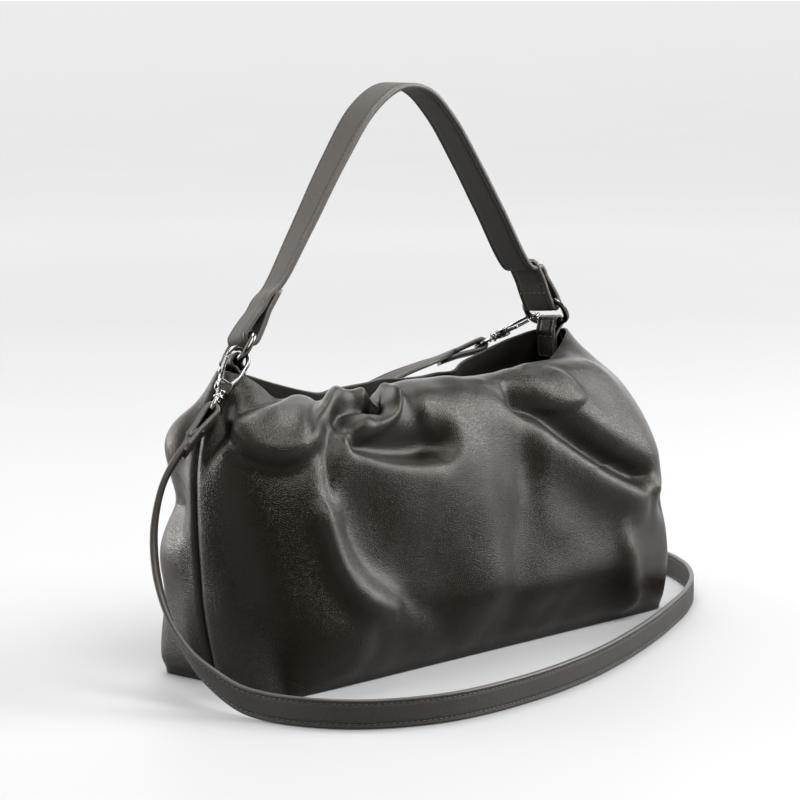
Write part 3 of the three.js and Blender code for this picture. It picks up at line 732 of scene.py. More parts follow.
class StitchTree(PathTree):
    """Sews a row of slightly slanted stitches along each path."""

    LEAST_SLANT = 0.6
    MOST_SLANT = 1.4
    FLATNESS = 0.8
    SEED = 7

    def __init__(self) -> None:
        """Builds the tree."""
        super().__init__("Stitch Row")
        for name in ("Pitch", "Stitch Length", "Thread", "Slant"):
            self.input(name, "NodeSocketFloat")
        self.input("Material", "NodeSocketMaterial")
        w = self.w
        given = w.add("NodeGroupInput").outputs
        line = w.add("GeometryNodeMeshToCurve", {"Mesh": given["Geometry"]}).outputs[0]
        holes = w.add("GeometryNodeResampleCurve", {"Curve": line, "Length": given["Pitch"]}, mode="LENGTH")
        face = w.add("GeometryNodeInputNamedAttribute", {"Name": "face"}, data_type="FLOAT_VECTOR")
        ahead = w.add("GeometryNodeInputTangent").outputs[0]
        lie = w.add("FunctionNodeAlignRotationToVector", {"Vector": ahead}, axis="X")
        upright = w.add(
            "FunctionNodeAlignRotationToVector",
            {"Rotation": lie.outputs[0], "Vector": face.outputs[0]},
            axis="Z",
            pivot_axis="X",
        )
        sway = w.add(
            "FunctionNodeRandomValue",
            {
                RANDOM_LEAST: w.sums("MULTIPLY", given["Slant"], self.LEAST_SLANT),
                RANDOM_MOST: w.sums("MULTIPLY", given["Slant"], self.MOST_SLANT),
                "Seed": self.SEED,
            },
            data_type="FLOAT",
        )
        swing = w.add("ShaderNodeCombineXYZ", {"Z": sway.outputs[RANDOM_RESULT]})
        turn = w.add("FunctionNodeEulerToRotation", {0: swing.outputs[0]})
        slanted = w.add(
            "FunctionNodeRotateRotation",
            {0: upright.outputs[0], 1: turn.outputs[0]},
            rotation_space="LOCAL",
        )
        bead = w.add("GeometryNodeMeshUVSphere", {"Segments": 8, "Rings": 5, "Radius": 1.0})
        size = w.add(
            "ShaderNodeCombineXYZ",
            {
                "X": w.sums("MULTIPLY", given["Stitch Length"], 0.5),
                "Y": given["Thread"],
                "Z": w.sums("MULTIPLY", given["Thread"], self.FLATNESS),
            },
        )
        stitch = w.add("GeometryNodeTransform", {"Geometry": bead.outputs[0], "Scale": size.outputs[0]})
        row = w.add(
            "GeometryNodeInstanceOnPoints",
            {"Points": holes.outputs[0], "Instance": stitch.outputs[0], "Rotation": slanted.outputs[0]},
        )
        self.close(row.outputs[0], given["Material"])


class WireTree(PathTree):
    """Bends a round wire along each path."""

    def __init__(self) -> None:
        """Builds the tree."""
        super().__init__("Bent Wire")
        self.input("Wire", "NodeSocketFloat")
        self.input("Material", "NodeSocketMaterial")
        w = self.w
        given = w.add("NodeGroupInput").outputs
        line = w.add("GeometryNodeMeshToCurve", {"Mesh": given["Geometry"]}).outputs[0]
        section = w.add("GeometryNodeCurvePrimitiveCircle", {"Resolution": 24, "Radius": given["Wire"]})
        wire = w.add(
            "GeometryNodeCurveToMesh",
            {"Curve": line, "Profile Curve": section.outputs[0], "Fill Caps": True},
        )
        self.close(wire.outputs[0], given["Material"])


@dataclass(frozen=True)
class Sewing:
    """Thread sizes in millimetres, and how a piece's stitch rows are sewn."""

    pitch: float = 3.2
    length: float = 2.5
    thread: float = 0.32
    slant_deg: float = 7.0

    def sew(
        self,
        name: str,
        tree: StitchTree,
        paths: Sequence[FacedPath],
        thread: bpy.types.Material,
    ) -> bpy.types.Object:
        """Sews stitches along paths.

        Args:
            name: The piece's name.
            tree: The tree that sews.
            paths: Points and facing directions of each row.
            thread: The thread's material.

        Returns:
            The stitches, as one mesh.
        """
        values = {
            "Pitch": self.pitch * MM,
            "Stitch Length": self.length * MM,
            "Thread": self.thread * MM,
            "Slant": math.radians(self.slant_deg),
            "Material": thread,
        }
        return tree.run(name, paths, False, values)


# Studio


@dataclass(frozen=True)
class StudioCamera:
    """The camera's place, worked out from its angle to the bag."""

    azimuth_deg: float = -48.05
    elevation_deg: float = 7.61
    distance_mm: float = 1683.3
    sideways_mm: float = -14.6
    height_mm: float = 136.35
    lens_mm: float = 135.0
    sensor_mm: float = 36.0

    def build(self) -> bpy.types.Object:
        """Makes the scene's camera.

        Returns:
            The camera.
        """
        a, e = math.radians(self.azimuth_deg), math.radians(self.elevation_deg)
        right = Vector((math.cos(a), math.sin(a), 0))
        target = right * self.sideways_mm * MM + Vector((0, 0, self.height_mm * MM))
        back = Vector((math.sin(a) * math.cos(e), -math.cos(a) * math.cos(e), math.sin(e)))
        data = bpy.data.cameras.new("camera")
        data.lens = self.lens_mm
        data.sensor_width = self.sensor_mm
        camera = bpy.data.objects.new("camera", data)
        camera.location = target + back * self.distance_mm * MM
        camera.rotation_euler = (-back).to_track_quat("-Z", "Y").to_euler()
        bpy.context.scene.collection.objects.link(camera)
        bpy.context.scene.camera = camera
        return camera


@dataclass(frozen=True)
class SoftBox:
    """A square soft light that faces a point above the base."""

    name: str
    place: Place
    size: float
    power: float
    aim: Place = (0.0, 0.0, 0.12)

    def build(self) -> None:
        """Hangs the light."""
        data = bpy.data.lights.new(self.name, "AREA")
        data.size = self.size
        data.energy = self.power
        light = bpy.data.objects.new(self.name, data)
        light.location = self.place
        back = Vector(self.place) - Vector(self.aim)
        light.rotation_euler = back.to_track_quat("Z", "Y").to_euler()
        bpy.context.scene.collection.objects.link(light)


@dataclass(frozen=True)
class Studio:
    """A white floor under soft lights, in a room that is bright behind the bag and dim in front.

    The room's light depends on the direction only: it falls from `bright` to `dim` as a direction
    turns towards the dark side. The floor glows from `glow_near` to `glow` between two distances,
    in metres.
    """

    floor_colour: Colour = (0.22, 0.22, 0.2225)
    floor_reach: float = 1500.0
    floor_rough: float = 0.55
    floor_rough_swing: float = 0.06
    floor_gloss: float = 0.1
    dark_side: Place = (0.05, -0.9, 0.42)
    dark_from: float = -0.2
    dark_full: float = 0.35
    bright: float = 2.3
    dim: float = 0.05
    glow: float = 0.44
    glow_near: float = 0.05
    glow_from: float = 0.5
    glow_full: float = 3.2
    boxes: tuple[SoftBox, ...] = (
        SoftBox("overhead", (0.3, 0.5, 1.9), 1.0, 45.0),
        SoftBox("front right", (1.55, -1.15, 1.05), 1.5, 110.0),
        SoftBox("front left", (-0.5, -1.1, 1.8), 1.2, 66.0),
        SoftBox("back left", (-0.9, 1.8, 0.4), 1.1, 60.0),
    )

    def build(self) -> None:
        """Lays the floor, lights the room and hangs the lights."""
        self.light_room()
        for box in self.boxes:
            box.build()
        r = self.floor_reach / MM
        corners = np.array([[-r, -r, 0], [r, -r, 0], [r, r, 0], [-r, r, 0]], float)
        material, w, shader = Finish("pale_floor", self.floor_colour, self.floor_rough).start()
        place = w.add("ShaderNodeTexCoord").outputs["Object"]
        tone = w.add("ShaderNodeTexNoise", {"Vector": place, "Scale": 3.0})
        swing = w.sums("MULTIPLY", tone.outputs["Fac"], self.floor_rough_swing)
        w.feed(shader.inputs["Roughness"], w.sums("ADD", swing, self.floor_rough))
        far = w.add("ShaderNodeVectorMath", {0: place}, operation="LENGTH")
        glow = w.add(
            "ShaderNodeMapRange",
            {
                "Value": far.outputs["Value"],
                "From Min": self.glow_from,
                "From Max": self.glow_full,
                "To Min": self.glow_near,
                "To Max": self.glow,
            },
            interpolation_type="SMOOTHSTEP",
        )
        w.feed(shader.inputs["Emission Color"], glow.outputs["Result"])
        shader.inputs["Emission Strength"].default_value = 1.0
        shader.inputs["Base Color"].default_value = (*self.floor_colour, 1)
        shader.inputs["Specular IOR Level"].default_value = self.floor_gloss
        new_piece("floor", corners, [(0, 1, 2, 3)], [material])

    def light_room(self) -> None:
        """Lights the room round the bag, for a plain picture with true tones."""
        scene = bpy.context.scene
        scene.view_settings.view_transform = "Standard"
        scene.world = bpy.data.worlds.new("room")
        scene.world.use_nodes = True
        w = Wiring(scene.world.node_tree)
        way = w.add("ShaderNodeTexCoord").outputs["Generated"]
        facing = w.add("ShaderNodeVectorMath", {0: way, 1: self.dark_side}, operation="DOT_PRODUCT")
        level = w.add(
            "ShaderNodeMapRange",
            {
                "Value": facing.outputs["Value"],
                "From Min": self.dark_from,
                "From Max": self.dark_full,
                "To Min": self.bright,
                "To Max": self.dim,
            },
            interpolation_type="SMOOTHSTEP",
        )
        background = w.tree.nodes["Background"]
        w.feed(background.inputs["Strength"], level.outputs["Result"])
        background.inputs["Color"].default_value = (1.0, 1.0, 1.0, 1)


# Strips of leather


@dataclass
class Strip:
    """A flat strip along a line, as frames that its mesh and its stitches share.

    The arrays hold one row for each station: its middle, the way across, and its place counted
    in the rows that it was made from. `edge_round` is the edges' radius as a share of the
    thickness, `face_steps` are shares of the way to a stitch line, and `groove_steps` are
    distances from it.
    """

    at: np.ndarray
    across: np.ndarray
    row: np.ndarray
    width: float
    thick: float
    stitch_inset: float = 2.4
    groove: float = 0.45
    groove_width: float = 0.65
    corner: float = 2.5
    edge_round: float = 0.36
    edge_slack: float = 0.01
    rub_width: float = 1.2
    thread_lift: float = 0.15
    cross_lift: float = 0.05
    face_steps: tuple[float, ...] = (0, 0.35, 0.7)
    groove_steps: tuple[float, ...] = (-1.2, -0.6, 0, 0.6, 1.2)

    @classmethod
    def from_rows(cls, rows: Sequence[Row], width: float, thick: float, spacing: float) -> Strip:
        """A smooth strip through rows.

        Args:
            rows: Middle and way across at each row, in millimetres.
            width: Width.
            thick: Thickness.
            spacing: Longest step between stations.

        Returns:
            The strip.
        """
        at, place = even_spline(np.array([a for a, _ in rows]), spacing, least=2)
        across = np.array([c for _, c in rows])
        low = np.minimum(place.astype(int), len(rows) - 2)
        blend = mix(across[low], across[low + 1], (place - low)[:, None])
        return cls(at, blend, place, width, thick)

    def __post_init__(self) -> None:
        """Squares the frames off the line."""
        self.along = unit(np.gradient(self.at, axis=0))
        self.across = square_off(self.across, self.along)
        self.through = np.cross(self.along, self.across)
        steps = np.linalg.norm(np.diff(self.at, axis=0), axis=1)
        self.run = np.concatenate([[0], np.cumsum(steps)])

    def profile(self) -> np.ndarray:
        """The section: two faces pressed along the stitch lines, and rounded edges.

        Returns:
            Points round it, across and through the strip.
        """
        half, edge = self.width / 2, self.edge_round * self.thick
        line = half - self.stitch_inset
        side = np.concatenate([line * np.array(self.face_steps), line + np.array(self.groove_steps)])
        face = np.unique(np.concatenate([-side, side]))
        press = self.groove * np.exp(-(((np.abs(face) - line) / self.groove_width) ** 2))
        top = np.stack([face, self.thick / 2 - press], 1)
        bend = np.radians([90, 60, 30, 0])
        middle = np.array([half - edge, self.thick / 2 - edge])
        high = middle + edge * np.stack([np.cos(bend), np.sin(bend)], 1)
        low = high[::-1] * [1, -1]
        right = np.concatenate([high, low])
        return np.concatenate([top, right, -top, -right])

    def narrowing(self) -> np.ndarray:
        """How much the half width shrinks at each station, for rounded ends."""
        left = np.minimum(np.minimum(self.run, self.run[-1] - self.run), self.corner)
        return self.corner - np.sqrt(np.maximum(self.corner**2 - (self.corner - left) ** 2, 0))

    def build(
        self, name: str, face: bpy.types.Material, edge: bpy.types.Material
    ) -> bpy.types.Object:
        """The strip's mesh.

        Args:
            name: The piece's name.
            face: Material of the two faces.
            edge: Material of the painted edges.

        Returns:
            The piece, with its edges marked as rubbed.
        """
        section = self.profile()
        half = self.width / 2
        shrink = 1 - self.narrowing()[:, None, None] / half
        points = (
            self.at[:, None]
            + self.across[:, None] * section[None, :, :1] * shrink
            + self.through[:, None] * section[None, :, 1:]
        )
        n, m = points.shape[:2]
        closed = np.concatenate([np.arange(m), [0]])
        faces = grid_faces(n, m + 1)
        faces = (faces // (m + 1)) * m + closed[faces % (m + 1)]
        is_edge = np.abs(section[:, 0]) > half - self.edge_round * self.thick - self.edge_slack
        pairs = is_edge & is_edge[(np.arange(m) + 1) % m]
        caps = [list(range(m)), list(range(n * m - 1, (n - 1) * m - 1, -1))]
        choice = np.concatenate([np.tile(pairs, n - 1).astype(int), np.ones(len(caps), int)])
        faces = [*faces.tolist(), *caps]
        piece = new_piece(name, points.reshape(-1, 3), faces, [face, edge], choice)
        rub = np.exp(-(((half - np.abs(section[:, 0])) / self.rub_width) ** 2))
        put_attribute(piece, "rub", np.tile(rub, n))
        face_out(piece)
        return piece

    def seam(self, first: float, last: float, sideways: float, side: int) -> FacedPath:
        """A stitch row along the strip.

        Args:
            first: The row it starts at.
            last: The row it ends at.
            sideways: How far from the middle.
            side: 1 for the face that the frames point through, -1 for the other.

        Returns:
            Points and facing directions.
        """
        kept = (self.row >= first) & (self.row <= last)
        lift = side * (self.thick / 2 - self.groove + self.thread_lift)
        points = self.at[kept] + self.across[kept] * sideways + self.through[kept] * lift
        return points, self.through[kept] * side

    def cross_seam(self, row: float, side: int) -> FacedPath:
        """A stitch row across the strip.

        Args:
            row: The row that it crosses at.
            side: 1 for the face that the frames point through, -1 for the other.

        Returns:
            Points and facing directions.
        """
        i = int(np.argmin(np.abs(self.row - row)))
        reach = np.linspace(-1, 1, 9)[:, None] * (self.width / 2 - self.stitch_inset)
        lift = self.through[i] * side * (self.thick / 2 + self.cross_lift)
        points = self.at[i] + self.across[i] * reach + lift
        return points, np.repeat(self.through[i][None] * side, len(reach), 0)


def face_out(piece: bpy.types.Object) -> None:
    """Turns a closed mesh to face outwards.

    Args:
        piece: The piece with that mesh.
    """
    mesh = piece.data
    mesh.calc_loop_triangles()
    points = np.array([v.co for v in mesh.vertices])
    corners = np.array([t.vertices for t in mesh.loop_triangles])
    a, b, c = (points[corners[:, k]] for k in range(3))
    if np.sum(a * np.cross(b, c)) < 0:
        mesh.flip_normals()


@dataclass(frozen=True)
class FoldSpec:
    """Sizes of a strip with folded ends, in millimetres."""

    width: float
    thick: float
    tail: float
    slack: float


# A folded end has rows on its tail, round its bend and at the start of its main run. Its stitches
# start and end at rows counted from the tail's end, and the edge seams reach into both folds.
GAP = 0.3
TAIL_ROWS = 4
BEND_ROWS = 9
FOLD_ROWS = 2 * TAIL_ROWS - 1 + BEND_ROWS
TAIL_SEAM = (0.12, 2.9)
FIRST_REACH, LAST_REACH = 2.6, 1.6
OPENING_SHARE = 0.6


def folded_end(
    bar: np.ndarray,
    across: np.ndarray,
    out: np.ndarray,
    face: np.ndarray,
    radius: float,
    spec: FoldSpec,
) -> list[Row]:
    """Rows of a strip folded round a bar, from its tail to the start of its main run.

    Args:
        bar: The bar's middle.
        across: The way along the bar.
        out: The way from the bar into the strip.
        face: The way from the tail's layer to the main layer.
        radius: Radius of the fold's middle line.
        spec: The strip's sizes.

    Returns:
        The rows.
    """
    near = (spec.thick + GAP) / 2
    opening = mix(near, radius, OPENING_SHARE)
    # Each layer's rows: the share of the tail's length, and the distance from between the layers
    layers = [(1, near), (0.75, near), (0.5, near * 1.05), (0.26, opening)]
    places = [(spec.tail * o, -f) for o, f in layers]
    for a in np.radians(np.linspace(180, 360, BEND_ROWS)):
        places.append((radius * math.sin(a) - spec.slack, radius * math.cos(a)))
    places += [(spec.tail * o, f) for o, f in reversed(layers[1:])]
    return [(bar + out * o + face * f, across) for o, f in places]


# Hardware shapes

WIRE_SIDES = 20
TURNED_SIDES = 28
DISC_SIDES = 24
RIM_FLAT = 0.12


def ring_faces(rings: int, sides: int, loop: bool) -> list[list[int]]:
    """Faces of rings of points, each ring joined to itself and to the next.

    Args:
        rings: Number of rings.
        sides: Number of points in a ring.
        loop: Whether the last ring joins the first. If not, both ends are closed.

    Returns:
        The faces.
    """
    faces = []
    for i in range(rings if loop else rings - 1):
        j = (i + 1) % rings
        for k in range(sides):
            m = (k + 1) % sides
            faces.append([i * sides + k, i * sides + m, j * sides + m, j * sides + k])
    if not loop:
        faces.append(list(range(sides))[::-1])
        faces.append(list(range((rings - 1) * sides, rings * sides)))
    return faces


def merged(parts: Sequence[Shape]) -> Shape:
    """Several closed shapes as one, each facing outwards.

    Args:
        parts: The shapes.

    Returns:
        One list of points and one of faces.
    """
    points, faces, first = [], [], 0
    for p, f in parts:
        points.append(p)
        fans = [(face[0], *pair) for face in f for pair in zip(face[1:], face[2:])]
        a, b, c = (p[np.array(fans)[:, k]] for k in range(3))
        step = 1 if np.sum(a * np.cross(b, c)) > 0 else -1
        faces += [[first + i for i in face[::step]] for face in f]
        first += len(p)
    return np.concatenate(points), faces


def tube(path: np.ndarray, radius: np.ndarray | float, side: np.ndarray, loop: bool = False) -> Shape:
    """A round wire along points.

    Args:
        path: Its middle line.
        radius: Its radius, or one for each point.
        side: A direction out of the line's plane.
        loop: Whether it joins its own start.

    Returns:
        The shape.
    """
    if loop:
        ahead = unit(np.roll(path, -1, 0) - np.roll(path, 1, 0))
    else:
        ahead = unit(np.gradient(path, axis=0))
    through = unit(np.cross(ahead, side))
    across = np.cross(through, ahead)
    a = np.linspace(0, 2 * math.pi, WIRE_SIDES, endpoint=False)
    r = np.broadcast_to(np.asarray(radius, float), (len(path),))[:, None, None]
    ring = across[:, None] * np.cos(a)[None, :, None] + through[:, None] * np.sin(a)[None, :, None]
    points = (path[:, None] + r * ring).reshape(-1, 3)
    return points, ring_faces(len(path), WIRE_SIDES, loop)


def turned(profile: Outline) -> Shape:
    """A shape turned round the z axis.

    Args:
        profile: (radius, z) pairs, closed on themselves.

    Returns:
        The shape.
    """
    radius, z = np.array(profile).T
    a = np.linspace(0, 2 * math.pi, TURNED_SIDES, endpoint=False)
    x, y = np.outer(radius, np.cos(a)), np.outer(radius, np.sin(a))
    points = np.stack([x, y, np.repeat(z[:, None], TURNED_SIDES, 1)], -1).reshape(-1, 3)
    return points, ring_faces(len(profile), TURNED_SIDES, True)


def slab(outline: np.ndarray, low: float, high: float, bevel: float) -> Shape:
    """A plate in the x-z plane with rounded rims.

    Args:
        outline: (x, z) points round it.
        low: Its lower y.
        high: Its upper y.
        bevel: Radius of the rims.

    Returns:
        The shape.
    """
    ahead = unit(np.roll(outline, -1, 0) - np.roll(outline, 1, 0))
    inward = np.stack([-ahead[:, 1], ahead[:, 0]], 1)
    if np.sum(inward * (outline.mean(0) - outline)) < 0:
        inward = -inward
    bend = np.radians([0, 30, 60, 90])
    rim = [(bevel + RIM_FLAT, 0.0), *zip(bevel * (1 - np.sin(bend)), bevel * (1 - np.cos(bend)))]
    rings = []
    for y, way in ((low, 1), (high, -1)):
        for inset, rise in rim[::way]:
            rings.append(np.insert(outline + inward * inset, 1, y + way * rise, 1))
    return np.concatenate(rings), ring_faces(len(rings), len(outline), False)


def round_outline(points: Outline, steps: int = 6) -> np.ndarray:
    """A smooth closed outline through points.

    Args:
        points: The points it passes.
        steps: How many points to return for each of them.

    Returns:
        Points round it.
    """
    p = [*points[-2:], *points, *points[:2]]
    line = smooth_line(p, (len(p) - 1) * steps + 1)
    return line[2 * steps:(2 + len(points)) * steps]


def disc_outline(x: float, z: float, radius: float) -> np.ndarray:
    """A round outline."""
    a = np.linspace(0, 2 * math.pi, DISC_SIDES, endpoint=False)
    return np.stack([x + radius * np.cos(a), z + radius * np.sin(a)], 1)


@dataclass(frozen=True)
class Ring:
    """An oval wire ring between a tab and the handle."""

    node: str
    at: Place
    leg: Place
    twist_deg: float
    half_wide: float = 13.4
    half_tall: float = 8.7
    wire: float = 1.8
    power: float = 3.0
    steps: int = 120

    @property
    def out(self) -> np.ndarray:
        """The way from the ring into the handle."""
        return unit(np.array(self.leg))

    @property
    def bar(self) -> np.ndarray:
        """The way along the ring's long bars."""
        a = math.radians(self.twist_deg)
        side = unit(np.cross(self.out, BACKWARD))
        return unit(BACKWARD * math.cos(a) + side * math.sin(a))

    def point(self, degrees: float | np.ndarray) -> np.ndarray:
        """Points on the wire's middle line."""
        c, s = superellipse(np.asarray(degrees, float)[..., None], self.power)
        return np.array(self.at) + self.bar * self.half_wide * c + self.out * self.half_tall * s

    @property
    def upper_bar(self) -> np.ndarray:
        """The middle of the bar in the handle."""
        return self.point(90)

    @property
    def lower_bar(self) -> np.ndarray:
        """The middle of the bar in the tab."""
        return self.point(270)

    def build(self, tree: WireTree, wardrobe: Wardrobe) -> bpy.types.Object:
        """Bends the wire.

        Args:
            tree: The tree that bends it.
            wardrobe: The materials.

        Returns:
            The piece.
        """
        path = self.point(np.linspace(0, 360, self.steps, endpoint=False))
        facing = np.repeat(np.cross(self.bar, self.out)[None], len(path), 0)
        values = {"Wire": self.wire * MM, "Material": wardrobe.gunmetal}
        piece = tree.run(self.node + "_wire", [(path, facing)], True, values)
        face_out(piece)
        return fit(piece, [self.node])


@dataclass(frozen=True)
class TriggerHook:
    """A trigger hook on a ring: its body, sprung gate and swivel eye.

    Its own frame has x towards the bow's arm, y through its thickness and z from swivel to bow.
    Outlines and lines are (x, z) points there, and turned profiles are (radius, z) points. The
    bow is an arc, given by its middle's x and z and its radius.
    """

    side: str
    ring: Ring
    ring_deg: float
    lie: Place
    across: Place
    gate_body: Body
    ring_step_deg: float = 2.0
    ring_x: float = 1.2
    ring_z: float = 27.3
    bow: Place = (0.3, 25.8, 6.2)
    bow_deg: tuple[float, float] = (-12, 192)
    wire: float = 1.25
    bow_steps: int = 40
    bow_taper: float = 0.3
    taper_from: float = 0.82
    tip_share: float = 0.55
    tip_reach: float = 0.04
    arm_steps: int = 14
    arm: Outline = ((2.2, 8.6), (4.2, 12.6), (5.7, 17.2), (6.2, 21.5))
    cheek: Outline = (
        (-2.3, 4.3), (-4.2, 6.2), (-4.4, 9.4), (-3.4, 10.6),
        (0.2, 10.8), (2.6, 11.2), (3.6, 9.8), (2.6, 4.4),
    )
    cheek_inside: float = 1.35
    cheek_outside: float = 2.4
    web: Outline = ((1.3, 4.6), (1.3, 8.0), (1.4, 10.8), (2.5, 11.0), (3.4, 9.7), (2.5, 4.6))
    web_half: float = 2.2
    foot: Outline = ((-2.6, 4.3), (-2.8, 5.2), (0, 5.3), (2.6, 5.3), (2.7, 4.3), (0, 4.2))
    neck: Outline = (
        (1.7, 0), (2.5, 0), (2.9, 0.3), (2.9, 1.0), (2.3, 1.5),
        (2.2, 2.6), (2.7, 4.0), (2.8, 5.0), (1.7, 5.0),
    )
    pivot: tuple[float, float] = (-2.4, 8.2)
    rivet: float = 0.95
    rivet_half: float = 2.75
    lever: Outline = ((-4.0, 12), (-5.2, 17.5), (-5.8, 23.4))
    lever_steps: int = 24
    lever_wide: tuple[float, float] = (1.15, 0.85)
    lever_half: float = 1.05
    hub: float = 1.9
    hub_half: float = 1.0
    nub: Outline = (
        (-4.9, 12.6), (-6.4, 13.4), (-6.9, 14.6), (-6.0, 16.0), (-5.0, 16.4), (-4.6, 14.4),
    )
    eye_half: float = 9.2
    eye_top: float = -2.4
    eye_bar: float = -10.2
    eye_wire: float = 1.1
    eye_power: float = 4.0
    eye_steps: int = 80
    stem: Outline = ((0.01, -3.0), (1.9, -2.6), (1.9, -1.5), (1.35, -1.1), (1.35, 3.7), (0.01, 3.8))

    def axes(self) -> tuple[np.ndarray, np.ndarray]:
        """Where the hook lies.

        Returns:
            Its origin, and its axes as rows.
        """
        lie = unit(np.array(self.lie))
        before, after = self.ring_deg - self.ring_step_deg, self.ring_deg + self.ring_step_deg
        ahead = self.ring.point(after) - self.ring.point(before)
        thick = square_off(unit(ahead), lie)
        side = unit(np.cross(thick, lie))
        at = self.ring.point(self.ring_deg) - side * self.ring_x - lie * self.ring_z
        return at, np.stack([side, thick, lie])

    def eye_across(self) -> np.ndarray:
        """The way along the eye's bar."""
        return square_off(np.array(self.across), unit(np.array(self.lie)))

    def bar_middle(self) -> np.ndarray:
        """The middle of the eye's bar, which holds the strap."""
        at, axes = self.axes()
        return at + axes[2] * self.eye_bar

    def placed(
        self,
        name: str,
        parts: Sequence[Shape],
        metal: bpy.types.Material,
        nodes: list[str],
        body: Body,
    ) -> bpy.types.Object:
        """Joins parts made in the hook's own frame and sets them in place.

        Args:
            name: The piece's name.
            parts: Its closed shapes.
            metal: Its material.
            nodes: The nodes that it stands for.
            body: The body that it rides on.

        Returns:
            The piece.
        """
        points, faces = merged(parts)
        at, axes = self.axes()
        piece = new_piece(name, at + points @ axes, faces, [metal])
        face_out(piece)
        return fit(piece, nodes, body)

    def build(self, wardrobe: Wardrobe) -> list[bpy.types.Object]:
        """Makes the hook.

        Args:
            wardrobe: The materials.

        Returns:
            The frame, the lever and the swivel.
        """
        name = f"hook_{self.side}"
        metal = wardrobe.nickel
        return [
            self.placed(name + "_frame", self.body_parts(), metal, [name + "_body"], Body.BAG),
            self.placed(name + "_lever", self.gate_parts(), metal, [name + "_gate"], self.gate_body),
            self.placed(name + "_swivel", self.eye_parts(), metal, [name + "_eye"], Body.BAG),
        ]

    def body_parts(self) -> list[Shape]:
        """The bow and its arm, the two cheeks, the web, the foot, the neck and the rivet.

        Returns:
            The shapes.
        """
        x, z, radius = self.bow
        a = np.radians(np.linspace(*self.bow_deg, self.bow_steps))
        bend = np.stack([x + radius * np.cos(a), 0 * a, z + radius * np.sin(a)], 1)
        arm = np.insert(smooth_line(self.arm, self.arm_steps), 1, 0, 1)
        path = np.concatenate([arm, bend])
        along = np.linspace(0, 1, len(path))
        taper = 1 - self.bow_taper * ease(self.taper_from, 1, along)
        tip = mix(self.tip_share, 1, ease(0, self.tip_reach, along[::-1]))
        cheek = round_outline(self.cheek)
        return [
            tube(path, self.wire * taper * tip, BACKWARD),
            slab(cheek, self.cheek_inside, self.cheek_outside, bevel=0.35),
            slab(cheek, -self.cheek_outside, -self.cheek_inside, bevel=0.35),
            slab(round_outline(self.web), -self.web_half, self.web_half, bevel=0.3),
            slab(round_outline(self.foot), -self.cheek_outside, self.cheek_outside, bevel=0.2),
            turned(self.neck),
            slab(disc_outline(*self.pivot, self.rivet), -self.rivet_half, self.rivet_half, bevel=0.25),
        ]

    def gate_parts(self) -> list[Shape]:
        """The flat lever with its hub and thumb nub.

        Returns:
            The shapes.
        """
        path = smooth_line([self.pivot, *self.lever], self.lever_steps)
        ahead = unit(np.gradient(path, axis=0))
        side = np.stack([-ahead[:, 1], ahead[:, 0]], 1)
        width = mix(*self.lever_wide, np.linspace(0, 1, len(path)))[:, None]
        outline = np.concatenate([path + side * width, (path - side * width)[::-1]])
        return [
            slab(outline, -self.lever_half, self.lever_half, bevel=0.35),
            slab(disc_outline(*self.pivot, self.hub), -self.hub_half, self.hub_half, bevel=0.3),
            slab(round_outline(self.nub), -self.hub_half, self.hub_half, bevel=0.4),
        ]

    def eye_parts(self) -> list[Shape]:
        """The flat loop that holds the strap, and its stem.

        Returns:
            The shapes.
        """
        _, axes = self.axes()
        across = axes @ self.eye_across()
        middle, tall = (self.eye_top + self.eye_bar) / 2, (self.eye_top - self.eye_bar) / 2
        degrees = np.linspace(0, 360, self.eye_steps, endpoint=False)[:, None]
        c, s = superellipse(degrees, self.eye_power)
        path = across * self.eye_half * c + UP * (middle + tall * s)
        loop = tube(path, self.eye_wire, unit(np.cross(across, UP)), True)
        return [loop, turned(self.stem)]


# Straps and tabs


@dataclass(frozen=True)
class Handle:
    """The short handle, folded round both rings.

    Its arch is a line of (x, z) points. From each end it turns from its ring's twist to the plain
    way across within the share `untwist` of those points.
    """

    left: Ring
    right: Ring
    spec: FoldSpec = FoldSpec(width=21, thick=3.2, tail=30, slack=2.2)
    arch: Outline = (
        (-103, 206), (-82, 234), (-54, 273), (-31, 299.5), (-9, 311),
        (13, 309), (33, 294), (57, 265), (77, 238), (104, 203),
    )
    arch_y: float = 19.0
    untwist: float = 0.42
    step: float = 2.0

    def end(self, ring: Ring) -> list[Row]:
        """The end folded round a ring.

        Args:
            ring: The ring.

        Returns:
            Its rows, from the tail.
        """
        face = unit(np.cross(ring.out, ring.bar))
        face = face if face[2] > 0 else -face
        radius = ring.wire + GAP + self.spec.thick / 2
        return folded_end(ring.upper_bar, ring.bar, ring.out, face, radius, self.spec)

    def build(self, sewing: Sewing, tree: StitchTree, wardrobe: Wardrobe) -> None:
        """Makes the handle and its stitches.

        Args:
            sewing: How it is sewn.
            tree: The tree that sews.
            wardrobe: The materials.
        """
        middle = []
        for i, (x, z) in enumerate(self.arch):
            t = (i + 1) / (len(self.arch) + 1)
            bar, from_end = (self.left.bar, t) if t < 0.5 else (self.right.bar, 1 - t)
            twist = 1 - ease(0, self.untwist, from_end)
            middle.append((np.array([x, self.arch_y, z]), mix(BACKWARD, bar, twist)))
        rows = [*self.end(self.left), *middle, *self.end(self.right)[::-1]]
        strip = Strip.from_rows(rows, self.spec.width, self.spec.thick, self.step)
        leather = strip.build("handle_leather", wardrobe.strap, wardrobe.edge)
        fit(leather, ["handle"])
        seams = end_seams(strip, self.left.upper_bar, len(rows), self.right.upper_bar)
        fit(sewing.sew("handle_stitches", tree, seams, wardrobe.thread))


